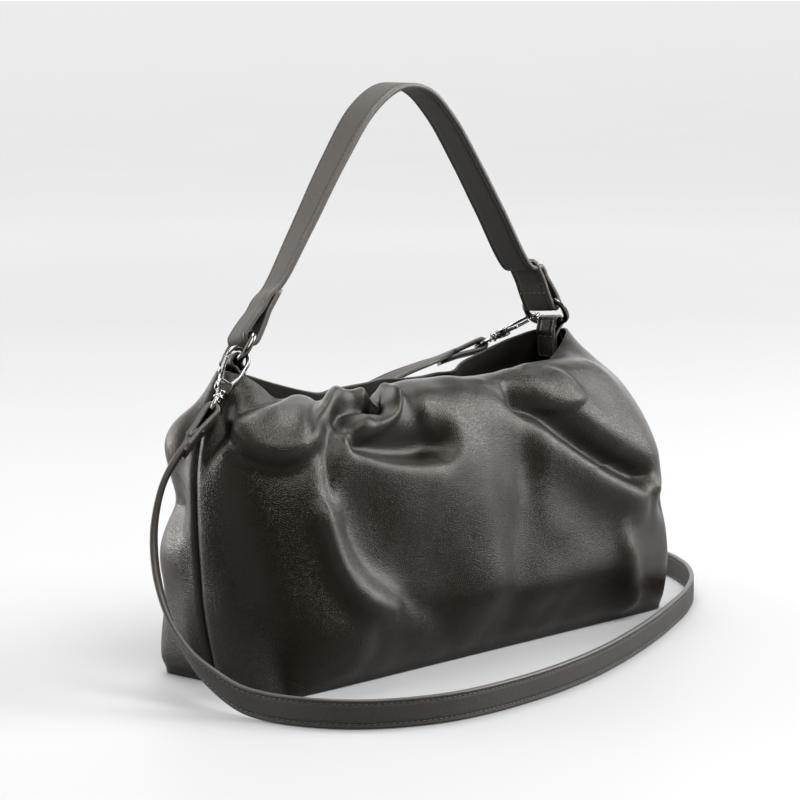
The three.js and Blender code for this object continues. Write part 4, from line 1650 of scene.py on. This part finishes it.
def end_seams(
    strip: Strip, first_bar: np.ndarray, rows: int, last_bar: np.ndarray
) -> list[FacedPath]:
    """Stitch rows of a strip with two folded ends: both edges, and a box on each tail.

    Args:
        strip: The strip.
        first_bar: The bar in its first fold.
        rows: How many rows the strip was made from.
        last_bar: The bar in its last fold.

    Returns:
        Points and facing directions of each row.
    """
    turn = TAIL_ROWS + (BEND_ROWS - 1) / 2
    line = strip.width / 2 - strip.stitch_inset
    seams = []
    for bar, flip in ((first_bar, False), (last_bar, True)):
        here = rows - 1 - turn if flip else turn
        i = int(np.argmin(np.abs(strip.row - here)))
        side = 1 if np.dot(strip.through[i], strip.at[i] - bar) > 0 else -1
        tail = sorted((rows - 1 - k if flip else k) for k in TAIL_SEAM)
        for sideways in (-line, line):
            seams.append(strip.seam(tail[0], tail[1], sideways, side))
        seams += [strip.cross_seam(k, side) for k in tail]
    for sideways in (-line, line):
        for side in (-1, 1):
            first, last = FOLD_ROWS - FIRST_REACH, rows - FOLD_ROWS + LAST_REACH
            seams.append(strip.seam(first, last, sideways, side))
    return seams


@dataclass(frozen=True)
class CrossbodyStrap:
    """The long strap: from the left hook down to the floor, round the front, and up the back.

    The turns give the strap's way across at some of the route's points, by their number.
    """

    left: TriggerHook
    right: TriggerHook
    spec: FoldSpec = FoldSpec(width=15, thick=2.8, tail=26, slack=0.9)
    step: float = 3.0
    route: tuple[Place, ...] = (
        (-171, 9, 135), (-181, 11, 125), (-190, 13, 112), (-196, 13, 97), (-200, 11, 82),
        (-204, 4, 62), (-206.5, -8, 42), (-207, -24, 26), (-206, -41, 16), (-205, -56, 10.3),
        (-203, -70, 8.2), (-198, -92, 7.8), (-189, -110, 7.8), (-177, -123, 7.8),
        (-159, -134, 7.8), (-139, -141, 7.8), (-112, -144, 7.8), (-66, -142, 7.8),
        (-20, -134, 7.8), (26, -121, 7.8), (72, -104.5, 7.8), (116, -86, 7.8), (156, -67, 7.8),
        (194, -43, 7.8), (226, -12, 7.8), (245, 22, 7.8), (238, 54, 7.8), (205, 76, 7.6),
        (160, 84.5, 6.5), (112, 86, 4.6), (66, 85, 3.1), (20, 82.6, 8.5), (-10, 80, 27),
        (-22, 77, 48), (-26, 74, 72), (-22, 71, 96), (-10, 66, 117), (8, 60, 132),
        (32, 54.5, 142), (58, 51, 148),
    )
    turns: tuple[tuple[float, Place], ...] = (
        (0, (0.62, 0.7, -0.35)),
        (4, (0.74, 0.62, -0.15)),
        (6.5, (0.62, 0.5, -0.55)),
        (8, (0.3, 0.45, -0.83)),
        (10.5, (0, 0, -1)),
        (26, (0, 0, -1)),
        (30, (0, 1, -0.2)),
        (31, (0, 1, 0)),
        (37, (0, 1, 0)),
        (39, (0.4, 0.9, -0.1)),
    )

    def end(self, hook: TriggerHook, towards: np.ndarray) -> list[Row]:
        """The end folded round a hook's eye.

        Args:
            hook: The hook.
            towards: Where the strap runs to from there.

        Returns:
            Its rows, from the tail.
        """
        bar, across = hook.bar_middle(), hook.eye_across()
        out = square_off(towards - bar, across)
        face = unit(np.cross(out, across))
        face = face if face[2] > 0 else -face
        radius = hook.eye_wire + GAP + self.spec.thick / 2
        return folded_end(bar, across, out, face, radius, self.spec)

    def build(
        self, sewing: Sewing, tree: StitchTree, wardrobe: Wardrobe, hooks: list[bpy.types.Object]
    ) -> None:
        """Args:
            sewing: How it is sewn.
            tree: The tree that sews.
            wardrobe: The materials.
            hooks: The hooks' pieces. Not used.
        """
        route = np.array(self.route, float)
        places = [at for at, _ in self.turns]
        turn = [curve_through(places, [way[k] for _, way in self.turns]) for k in range(3)]
        way = np.stack([f(np.arange(len(route))) for f in turn], 1)
        last = self.end(self.right, route[-1])[::-1]
        rows = [*self.end(self.left, route[0]), *zip(route, way), *last]
        strip = Strip.from_rows(rows, self.spec.width, self.spec.thick, self.step)
        leather = strip.build("strap_leather", wardrobe.strap, wardrobe.edge)
        fit(leather, ["crossbody_strap"])
        seams = end_seams(strip, self.left.bar_middle(), len(rows), self.right.bar_middle())
        stitches = sewing.sew("strap_stitches", tree, seams, wardrobe.thread)
        fit(stitches)


@dataclass(frozen=True)
class RingTab:
    """A leather tab folded over a ring's lower bar and sewn into the top of a side seam.

    Both layers run down by `tuck`, with rows at its shares `tuck_steps`, and lie `shift` inwards
    of the bar. The tab turns from the ring's twist to the plain way across between two heights.
    """

    side: str
    ring: Ring
    inward: int
    width: float = 13.0
    thick: float = 1.8
    tuck: float = 20.0
    shift: float = 3.1
    tuck_steps: tuple[float, ...] = (1, 0.65, 0.4)
    opening_z: float = -4.0
    opening_shift: float = 0.7
    bend_deg: tuple[float, float] = (-10, 190)
    untwist_z: tuple[float, float] = (-9, -3)
    step: float = 1.2
    seam_rows: tuple[float, float] = (2.1, 3.1)

    def rows(self) -> list[Row]:
        """The tab's rows, from its inner end over the bar to its outer end.

        Returns:
            The rows.
        """
        bar = self.ring.lower_bar
        radius = self.ring.wire + 3 * GAP + self.thick / 2
        near = (self.thick + GAP) / 2
        opening = mix(near, radius, OPENING_SHARE)
        aside = self.shift * self.opening_shift
        places = [(near + self.shift, -self.tuck * t) for t in self.tuck_steps]
        places.append((opening + aside, self.opening_z))
        for a in np.radians(np.linspace(*self.bend_deg, BEND_ROWS)):
            places.append((radius * math.cos(a), radius * math.sin(a)))
        places.append((aside - opening, self.opening_z))
        places += [(self.shift - near, -self.tuck * t) for t in reversed(self.tuck_steps)]
        inwards = np.array([self.inward, 0, 0])
        rows = []
        for x, z in places:
            across = mix(self.ring.bar, BACKWARD, 1 - ease(*self.untwist_z, z))
            rows.append((bar + inwards * x + UP * z, across))
        return rows

    def build(self, sewing: Sewing, tree: StitchTree, wardrobe: Wardrobe) -> None:
        """Makes the tab and the stitch rows across it.

        Args:
            sewing: How it is sewn.
            tree: The tree that sews.
            wardrobe: The materials.
        """
        rows = self.rows()
        strip = Strip.from_rows(rows, self.width, self.thick, self.step)
        name = f"ring_tab_{self.side}"
        fit(strip.build(name + "_leather", wardrobe.body, wardrobe.edge), [name])
        top = int(np.argmax(strip.at[:, 2]))
        side = 1 if strip.through[top][2] > 0 else -1
        first, last = self.seam_rows
        seams = [strip.cross_seam(k, side) for k in (first, len(rows) - last)]
        fit(sewing.sew(name + "_stitches", tree, seams, wardrobe.thread))


# The soft body


CREASE_ROUND = 0.7
LINE_STEPS = 12
FOLD_ROOM = 6.4


@dataclass(frozen=True)
class Fold:
    """One fold or dent, drawn on a wall along a line of (along, up) points, in millimetres.

    It stands out by `out` (minus for a dent), spreads to the left and right of its line, and has
    the strengths start and end at the line's ends. Its crest leans to the left by `lean`. A low
    `power` makes a sharp crease, and `first` is the share of the spread at the line's start.
    """

    name: str
    out: float
    left: float
    right: float
    start: float
    end: float
    line: Outline
    lean: float = 0.0
    power: float = 2.0
    first: float = 1.0

    def reach(self, along: np.ndarray, up: np.ndarray) -> tuple[np.ndarray, np.ndarray, np.ndarray]:
        """How the fold moves the wall.

        Args:
            along: Distances along the wall.
            up: Distances up the wall.

        Returns:
            The moves outwards, along and up, in millimetres.
        """
        pts = smooth_line(self.line, LINE_STEPS * (len(self.line) - 1) + 1)
        room = FOLD_ROOM / self.power * max(self.left, self.right)
        low, high = pts.min(0) - room, pts.max(0) + room
        near = (along > low[0]) & (along < high[0]) & (up > low[1]) & (up < high[1])
        p = np.stack([along[near], up[near]], 1)
        best = np.full(len(p), np.inf)
        place, side = np.zeros(len(p)), np.zeros(len(p))
        way = np.zeros((len(p), 2))
        for i, (a, b) in enumerate(zip(pts[:-1], pts[1:])):
            d = b - a
            t = np.clip((p - a) @ d / (d @ d), 0, 1)
            off = p - a - t[:, None] * d
            far = np.hypot(off[:, 0], off[:, 1])
            closer = far < best
            best[closer] = far[closer]
            place[closer] = (i + t[closer]) / (len(pts) - 1)
            normal = unit(np.array([-d[1], d[0]]))
            side[closer] = (off @ normal / (far + TINY))[closer]
            way[closer] = normal
        spread = mix(self.right, self.left, ease(-1, 1, side)) * mix(self.first, 1, place)
        soft = np.hypot(best, CREASE_ROUND) - CREASE_ROUND
        strength = mix(self.start, self.end, place) * np.exp(-((soft / spread) ** self.power))
        moves = np.zeros((3, *along.shape))
        moves[0][near] = self.out * strength
        moves[1][near] = self.lean * strength * way[:, 0]
        moves[2][near] = self.lean * strength * way[:, 1]
        return moves[0], moves[1], moves[2]


@dataclass(frozen=True)
class Section:
    """The body's plan at one distance up the wall, in millimetres.

    It gives the heights at the middle of the front, the middle of the back and the side seams,
    the half length, the y of the front and back walls, and the y of the side seams. The corners
    are as square as `square` says, apart from the front left one, which is rounder.
    """

    up: float
    z_front: float
    z_back: float
    z_seam: float
    half: float
    front: float
    back: float
    square: float
    front_left: float
    seam_y: float


# Columns: up, z_front, z_back, z_seam, half, front, back, square, front_left, seam_y
SECTIONS = (
    Section(0, 0, 0, 0, 160, -49, 49, 22, 22, 6),
    Section(12, 12, 11, 12, 161, -52.5, 51, 14, 10, 7),
    Section(40, 40, 37, 40, 162, -59.2, 53, 9, 5.5, 7),
    Section(80, 79, 72, 79, 163, -56, 53, 7, 4.2, 9),
    Section(112, 111, 100, 111, 161, -49.5, 52, 5.8, 3.8, 12),
    Section(134, 133, 118, 133, 157, -41.5, 50, 4.2, 3.4, 15.5),
    Section(150, 147, 130, 148, 151, -30, 47, 3.0, 2.8, 18),
    Section(160, 150, 137, 157, 147, -20, 44, 2.5, 2.5, 18),
    Section(170, 146, 143, 165, 143, -9, 42, 2.2, 2.2, 18),
)

# Columns of the folds: name, out, left, right, start, end, line
FRONT_FOLDS = (
    Fold("left pouch", 12, 17, 5, 0.8, 0.9, ((-188, 137), (-177, 128), (-164, 125), (-152, 129))),
    Fold(
        "under left pouch", -2, 4, 9, 0.2, 0.9,
        ((-194, 142), (-187, 134), (-179, 125), (-168, 120.5), (-156, 120), (-146, 125)), power=1.4,
    ),
    Fold(
        "facet crease", -9, 4, 15, 1, 0.5,
        ((-167, 161), (-185, 148), (-198, 136), (-209, 120)), power=1.4,
    ),
    Fold("notch", -8, 5, 5, 0.9, 0.6, ((-134, 160), (-140, 150), (-146, 140), (-150, 131)), power=1.2),
    Fold(
        "main ridge", 6, 6, 10, 0.6, 0.25,
        ((-122, 156), (-136, 147), (-143, 138), (-146, 129), (-146, 115), (-145, 96)),
    ),
    Fold(
        "long crease", -5, 7, 6, 1, 0.3,
        ((-132, 134), (-135, 124), (-136, 109), (-135, 94), (-130, 76), (-124, 58)), power=1,
    ),
    Fold("hollow", -11, 5, 7, 0.7, 1, ((-122, 142), (-117, 148), (-106, 151), (-94, 151), (-82, 154))),
    Fold("hollow lip", 2.5, 5, 4, 1, 1, ((-128, 156), (-117, 158), (-106, 157), (-98, 155))),
    Fold("bright patch", 3.5, 4, 4, 0.5, 1, ((-124, 134), (-114, 137), (-106, 139))),
    Fold(
        "curl top", 5, 4, 4, 0.5, 1,
        ((-98, 158), (-90, 163), (-80, 164), (-74, 158), (-74, 150)), lean=-3,
    ),
    Fold(
        "curl tail", 6, 3.5, 4, 1, 0.5,
        ((-74, 150), (-79, 143), (-90, 138), (-104, 134), (-118, 130.5)), lean=2,
    ),
    Fold("mouth", -13, 6, 6, 1, 1, ((-84, 163), (-86, 150))),
    Fold(
        "eye pocket", -10, 14, 6.5, 0.8, 1,
        ((-114, 128), (-94, 123.5), (-70, 120.5), (-50, 120)), first=0.5,
    ),
    Fold(
        "eye rim", 6.5, 5, 22, 0.4, 0.7,
        ((-124, 127), (-104, 119), (-82, 113.5), (-60, 112), (-45, 119), (-44, 128), (-52, 137)),
    ),
    Fold("swell to the top", 1, 9, 9, 1, 1, ((-42, 130), (-30, 137), (-12, 142))),
    Fold("top roll", 1.5, 6, 6, 1, 1, ((-66, 163), (-20, 160), (16, 152))),
    Fold("drape one", 4, 14, 28, 0.4, 1, ((-8, 138), (-14, 118), (-19, 92), (-20, 65), (-17, 46))),
    Fold("drape valley", -5, 13, 12, 0.8, 0.3, ((30, 130), (25, 110), (17, 83), (12, 58), (9, 34))),
    Fold("drape two", 1.2, 10, 10, 1, 1, ((36, 108), (37, 88), (39, 68))),
    Fold(
        "long ridge", 10.5, 7, 13, 0.25, 0.8,
        ((4, 138), (14, 135), (23, 129), (35, 119), (51, 108), (69, 97), (89, 86), (113, 77), (134, 74)),
        lean=2,
    ),
    Fold(
        "long valley", -12.5, 9, 6, 0.7, 0.7,
        ((38, 138), (49, 133), (58, 126), (67, 118), (83, 107), (100, 96), (120, 84)),
    ),
    Fold("lobe lip", 4, 12, 4, 0.3, 1, ((31, 142), (46, 138), (62, 135), (78, 134), (92, 136)), lean=-3),
    Fold("lobe dent", -2, 5, 5, 0.8, 1, ((98, 151), (103, 146), (101, 141), (94, 138))),
    Fold("right lobe", 4, 12, 14, 0.6, 1, ((66, 152), (105, 154), (140, 147))),
    Fold("right knuckle", 2, 8, 8, 1, 1, ((138, 76), (150, 77))),
    Fold("under knuckle", -4, 6, 6, 1, 1, ((130, 70), (150, 66))),
    Fold("left sheen edge", 10, 13, 6, 0.75, 0.6, ((-141, 90), (-134, 66), (-120, 48), (-100, 38))),
    Fold(
        "right sheen edge", 1, 26, 20, 0.6, 0.9,
        ((-60, 37), (-38, 36), (-7, 36), (10, 40), (41, 49), (81, 58), (118, 65)),
    ),
    Fold("under sheen", -3, 12, 12, 1, 1, ((-100, 28), (-50, 22), (0, 20))),
    Fold("low ridge", 2.5, 12, 7, 0.5, 1, ((-32, 16), (-2, 23), (36, 31), (74, 37), (103, 42))),
    Fold("low right fold", 5, 6, 7, 0.25, 0.7, ((99, 56), (105, 36), (117, 14))),
    Fold("corner dart", -4, 4, 4, 1, 0.3, ((-153, 3), (-140, 8), (-126, 15)), power=1.2),
    Fold("dart ridge", 3, 7, 7, 1, 0.4, ((-148, 3), (-132, 12), (-113, 22))),
    Fold("dark belly", -7, 34, 8, 1, 0.8, ((-122, 86), (-112, 66), (-92, 50), (-68, 37))),
    Fold("right shoulder", 6, 24, 9, 0.7, 1, ((96, 113), (112, 105), (136, 94))),
    Fold("right column", 3.5, 18, 12, 0.4, 1, ((108, 66), (107, 46), (110, 22))),
    Fold("floor swell", 7, 36, 6, 0.35, 0.3, ((-120, 10), (-40, 10), (40, 10), (150, 10))),
)

BACK_FOLDS = (
    Fold("left upper swell", 7, 16, 12, 1, 0.4, ((-190, 128), (-164, 128))),
    Fold("left pinch", -6, 10, 10, 1, 0.2, ((-196, 95), (-172, 98), (-140, 104))),
    Fold("left lower swell", 4.5, 13, 16, 1, 0.6, ((-188, 68), (-164, 66))),
    Fold("right pinch", -6, 12, 12, 1, 0.2, ((196, 112), (168, 116), (136, 124))),
    Fold("right lower swell", 4, 15, 15, 1, 0.6, ((182, 78), (162, 74))),
    Fold("inside fold", -4, 9, 9, 1, 0.2, ((92, 168), (86, 140), (84, 104))),
    Fold("left drape", -4, 14, 14, 1, 0.2, ((-70, 164), (-62, 128), (-66, 84))),
    Fold("middle drape", 3, 18, 18, 1, 0.3, ((14, 166), (8, 130), (14, 88))),
    Fold("low sag", 3, 14, 14, 0.6, 0.6, ((-90, 28), (0, 36), (96, 26))),
    Fold("floor roll", 3, 24, 6, 1, 1, ((-196, 10), (-60, 10), (60, 10), (196, 10))),
)

# How far the side seams stand out, by the distance up the wall
SEAM_OUT = ((0, 0), (20, 4.5), (50, 9), (105, 9), (134, 5), (150, 1), (170, 0))


def soften(grids: np.ndarray, up: np.ndarray, times: int) -> np.ndarray:
    """Averages grids of values with their neighbours, so that straight slopes stay straight.

    Args:
        grids: Values by grid, row and column.
        up: Distance up the wall of each row.
        times: How often.

    Returns:
        The smoother grids.
    """
    step = np.diff(up)
    below = (step[1:] / (step[1:] + step[:-1]))[:, None]
    soft = grids.copy()
    for _ in range(times):
        soft[:, :, 1:-1] = (soft[:, :, :-2] + 2 * soft[:, :, 1:-1] + soft[:, :, 2:]) / 4
        soft[:, 1:-1] = (below * soft[:, :-2] + soft[:, 1:-1] + (1 - below) * soft[:, 2:]) / 2
    return soft


@dataclass(frozen=True)
class SoftWall:
    """One soft wall from side seam to side seam, with its folds, in millimetres.

    Folds fade out within `hold_seam` of a side seam and `hold_base` of the base. A point is fully
    rubbed where the wall bulges with the curvature `rub_bulge`.
    """

    panel: Panel
    folds: tuple[Fold, ...]
    rise_from: float
    columns: int
    fine_step: float
    seam_width: float
    leather: float = 1.6
    reach: float = 215.0
    tall: float = 170.0
    seam_turn: float = 1.6
    seam_turn_width: float = 2.4
    fine_from: float = 95.0
    coarse_step: float = 2.0
    ripple: float = 0.0022
    ripple_lengths: tuple[float, ...] = (64, 52, 43, 36, 31, 26, 22, 18)
    seed: int = 5
    softening: int = 4
    bend_rows: int = 7
    plan_steps: int = 1441
    hold_seam: float = 16.0
    hold_base: float = 9.0
    rub_bulge: float = 0.12
    inside_from: float = 0.6

    def stations(self) -> tuple[np.ndarray, np.ndarray]:
        """The closed section of the wall, once round.

        Returns:
            Distance up and depth into the leather at each station: outside, rim, inside, foot.
        """
        r = self.leather / 2
        low = np.arange(r, self.fine_from, self.coarse_step)
        high = np.arange(self.fine_from, self.tall - r, self.fine_step)
        side = np.concatenate([low, high, [self.tall - r]])
        bend = np.radians(np.linspace(0, 180, self.bend_rows + 2)[1:-1])
        rim = np.stack([self.tall - r + r * np.sin(bend), r - r * np.cos(bend)])
        foot = np.stack([r - r * np.sin(bend), r + r * np.cos(bend)])
        up = np.concatenate([side, rim[0], side[::-1], foot[0]])
        depth = np.concatenate([0 * side, rim[1], 0 * side + self.leather, foot[1]])
        return up, depth

    def plain(self, along: np.ndarray, up: np.ndarray) -> np.ndarray:
        """The wall without folds, as a grid of points.

        Args:
            along: Distances along the wall, one for each column.
            up: Distances up it, one for each row.

        Returns:
            Points by row and column.
        """
        rows = [s.up for s in SECTIONS]
        columns = {k: [getattr(s, k) for s in SECTIONS] for k in Section.__annotations__}
        take = {k: curve_through(rows, column)(up) for k, column in columns.items()}
        is_front = self.panel is Panel.FRONT
        depth = take["front" if is_front else "back"] - take["seam_y"]
        middle = take["z_front" if is_front else "z_back"]
        angle = np.linspace(0, 180, self.plan_steps)
        rounder = (angle < 90) & is_front
        grid = np.zeros((len(up), len(along), 3))
        wanted = (along / self.reach + 1) / 2
        rise = ease(self.rise_from, self.reach, np.abs(along))
        for j in range(len(up)):
            power = np.where(rounder, take["front_left"][j], take["square"][j])
            c, s = superellipse(angle, power)
            x, y = -take["half"][j] * c, take["seam_y"][j] + depth[j] * s
            run = np.concatenate([[0], np.cumsum(np.hypot(np.diff(x), np.diff(y)))])
            grid[j, :, 0] = np.interp(wanted, run / run[-1], x)
            grid[j, :, 1] = np.interp(wanted, run / run[-1], y)
            grid[j, :, 2] = mix(middle[j], take["z_seam"][j], rise)
        return grid

    def ripples(self, along: np.ndarray, up: np.ndarray) -> np.ndarray:
        """Faint waves of soft leather.

        Args:
            along: Distances along the wall.
            up: Distances up the wall.

        Returns:
            Their moves outwards, in millimetres.
        """
        chance = np.random.default_rng(self.seed)
        waves = np.zeros_like(along)
        for length in self.ripple_lengths:
            way, phase = chance.uniform(0, 2 * math.pi, 2)
            turn = 2 * math.pi / length * (along * math.cos(way) + up * math.sin(way)) + phase
            waves += self.ripple * length * np.sin(turn)
        return waves

    def surface(self) -> tuple[np.ndarray, np.ndarray, np.ndarray]:
        """The folded wall.

        Returns:
            Points by station and column, the depth of each station, and how rubbed each point is.
        """
        up, depth = self.stations()
        along = np.linspace(-self.reach + GAP, self.reach - GAP, self.columns)
        levels, which = np.unique(up, return_inverse=True)
        plain = self.plain(along, levels)
        run = np.gradient(plain, along, axis=1)
        rise = np.gradient(plain, levels, axis=0)
        normal = unit(np.cross(run, rise)) * -self.panel.value
        grid_along, grid_up = np.meshgrid(along, levels)
        from_seam = self.reach - np.abs(grid_along)
        hold = ease(0, self.hold_seam, from_seam) * ease(0, self.hold_base, grid_up)
        moves = np.zeros((3, *grid_along.shape))
        for fold in self.folds:
            moves += np.stack(fold.reach(grid_along, grid_up))
        moves[0] += self.ripples(grid_along, grid_up)
        moves = soften(moves, levels, self.softening) * hold
        push = curve_through([u for u, _ in SEAM_OUT], [d for _, d in SEAM_OUT])(grid_up)
        turn = self.seam_turn * np.exp(-((from_seam / self.seam_turn_width) ** 2))
        out = moves[0] + push * np.exp(-((from_seam / self.seam_width) ** 2)) - turn
        base = plain + run * moves[1][..., None] + rise * moves[2][..., None]
        bulge = -np.gradient(np.gradient(out, levels, axis=0), levels, axis=0)
        bulge -= np.gradient(np.gradient(out, along, axis=1), along, axis=1)
        rub = np.clip(bulge / self.rub_bulge, 0, 1)
        points = base[which] + normal[which] * (out[which] - depth[:, None])[..., None]
        return points, depth, rub[which]

    def build(self, wardrobe: Wardrobe, node: str) -> bpy.types.Object:
        """Makes the wall with its outside and inside finishes.

        Args:
            wardrobe: The materials.
            node: The node that it stands for.

        Returns:
            The piece.
        """
        points, depth, rub = self.surface()
        rows, columns = points.shape[:2]
        faces = grid_faces(rows, columns, ring=True)
        inside = (depth + np.roll(depth, -1)) / 2 > self.inside_from * self.leather
        sides = (rows - 2 * self.bend_rows) // 2
        last = 2 * sides + self.bend_rows - 1
        caps = []
        for column in (0, columns - 1):
            ring = np.arange(rows) * columns + column
            pairs = [(k, k + 1, last - k - 1, last - k) for k in range(sides - 1)]
            caps += [[ring[i] for i in pair] for pair in pairs]
            caps.append([ring[i] for i in range(sides - 1, sides + self.bend_rows + 1)])
            caps.append([ring[i] for i in [*range(last, rows), 0]])
        choice = np.concatenate([np.repeat(inside, columns - 1).astype(int), np.zeros(len(caps), int)])
        faces = [*faces.tolist(), *caps]
        finishes = [wardrobe.body, wardrobe.lining]
        piece = new_piece(node + "_leather", points.reshape(-1, 3), faces, finishes, choice)
        put_attribute(piece, "rub", rub.ravel())
        face_out(piece)
        return fit(piece, [node])


@dataclass(frozen=True)
class BasePanel:
    """The flat base sheet between the walls, in millimetres.

    Faces whose normal rises by more than `top_from` have the inside's finish.
    """

    half: float = 157.8
    front: float = -46.8
    back: float = 46.8
    corner: float = 14.0
    corner_steps: int = 13
    thick: float = 2.0
    round: float = 0.6
    top_from: float = 0.5

    def build(self, wardrobe: Wardrobe) -> bpy.types.Object:
        """Makes the base.

        Args:
            wardrobe: The materials.

        Returns:
            The piece.
        """
        outline = []
        for x, y, start in ((1, 1, 0), (-1, 1, 90), (-1, -1, 180), (1, -1, 270)):
            edge = self.back if y > 0 else self.front
            middle = np.array([x * (self.half - self.corner), edge - y * self.corner])
            for a in np.radians(start + np.linspace(0, 90, self.corner_steps)):
                outline.append(middle + self.corner * np.array([math.cos(a), math.sin(a)]))
        points, faces = slab(np.array(outline), 0.0, self.thick, self.round)
        points = points[:, [0, 2, 1]]
        piece = new_piece("base_leather", points, faces, [wardrobe.body, wardrobe.lining])
        face_out(piece)
        put_attribute(piece, "rub", np.zeros(len(points)))
        top = np.array([p.normal.z > self.top_from for p in piece.data.polygons])
        piece.data.polygons.foreach_set("material_index", top.astype(np.int32))
        return fit(piece, ["base_panel"])


def main() -> None:
    """Builds the studio and the bag, piece by piece."""
    logging.basicConfig(level=logging.INFO, format="%(name)s: %(message)s")
    StudioCamera().build()
    wardrobe = Wardrobe()
    stitches, wires = StitchTree(), WireTree()
    sewing = Sewing()
    left_ring = Ring("ring_left", at=(-129, 19, 175), leg=(0.63, 0, 0.78), twist_deg=-23)
    right_ring = Ring("ring_right", at=(129, 19, 175.5), leg=(-0.55, 0, 0.83), twist_deg=7.5)
    hooks = (
        TriggerHook(
            "left",
            left_ring,
            ring_deg=231,
            lie=(0.65, 0.08, 0.755),
            across=(0.51, 0.69, -0.52),
            gate_body=Body.LEFT_GATE,
        ),
        TriggerHook(
            "right",
            right_ring,
            ring_deg=332,
            lie=(0.785, -0.44, 0.43),
            across=(0.57, 0.785, -0.24),
            gate_body=Body.RIGHT_GATE,
        ),
    )
    metal = [piece for hook in hooks for piece in hook.build(wardrobe)]
    CrossbodyStrap(*hooks).build(sewing, stitches, wardrobe, metal)
    Studio().build()
    for ring in (left_ring, right_ring):
        ring.build(wires, wardrobe)
    Handle(left_ring, right_ring).build(sewing, stitches, wardrobe)
    RingTab("left", left_ring, inward=1).build(sewing, stitches, wardrobe)
    RingTab("right", right_ring, inward=-1).build(sewing, stitches, wardrobe)
    front = SoftWall(
        Panel.FRONT, FRONT_FOLDS, rise_from=128, columns=380, fine_step=1.0, seam_width=34.0
    )
    front.build(wardrobe, "front_panel")
    back = SoftWall(
        Panel.BACK, BACK_FOLDS, rise_from=55, columns=300, fine_step=1.4, seam_width=26.0
    )
    back.build(wardrobe, "back_panel")
    BasePanel().build(wardrobe)


if __name__ == "__main__":
    main()
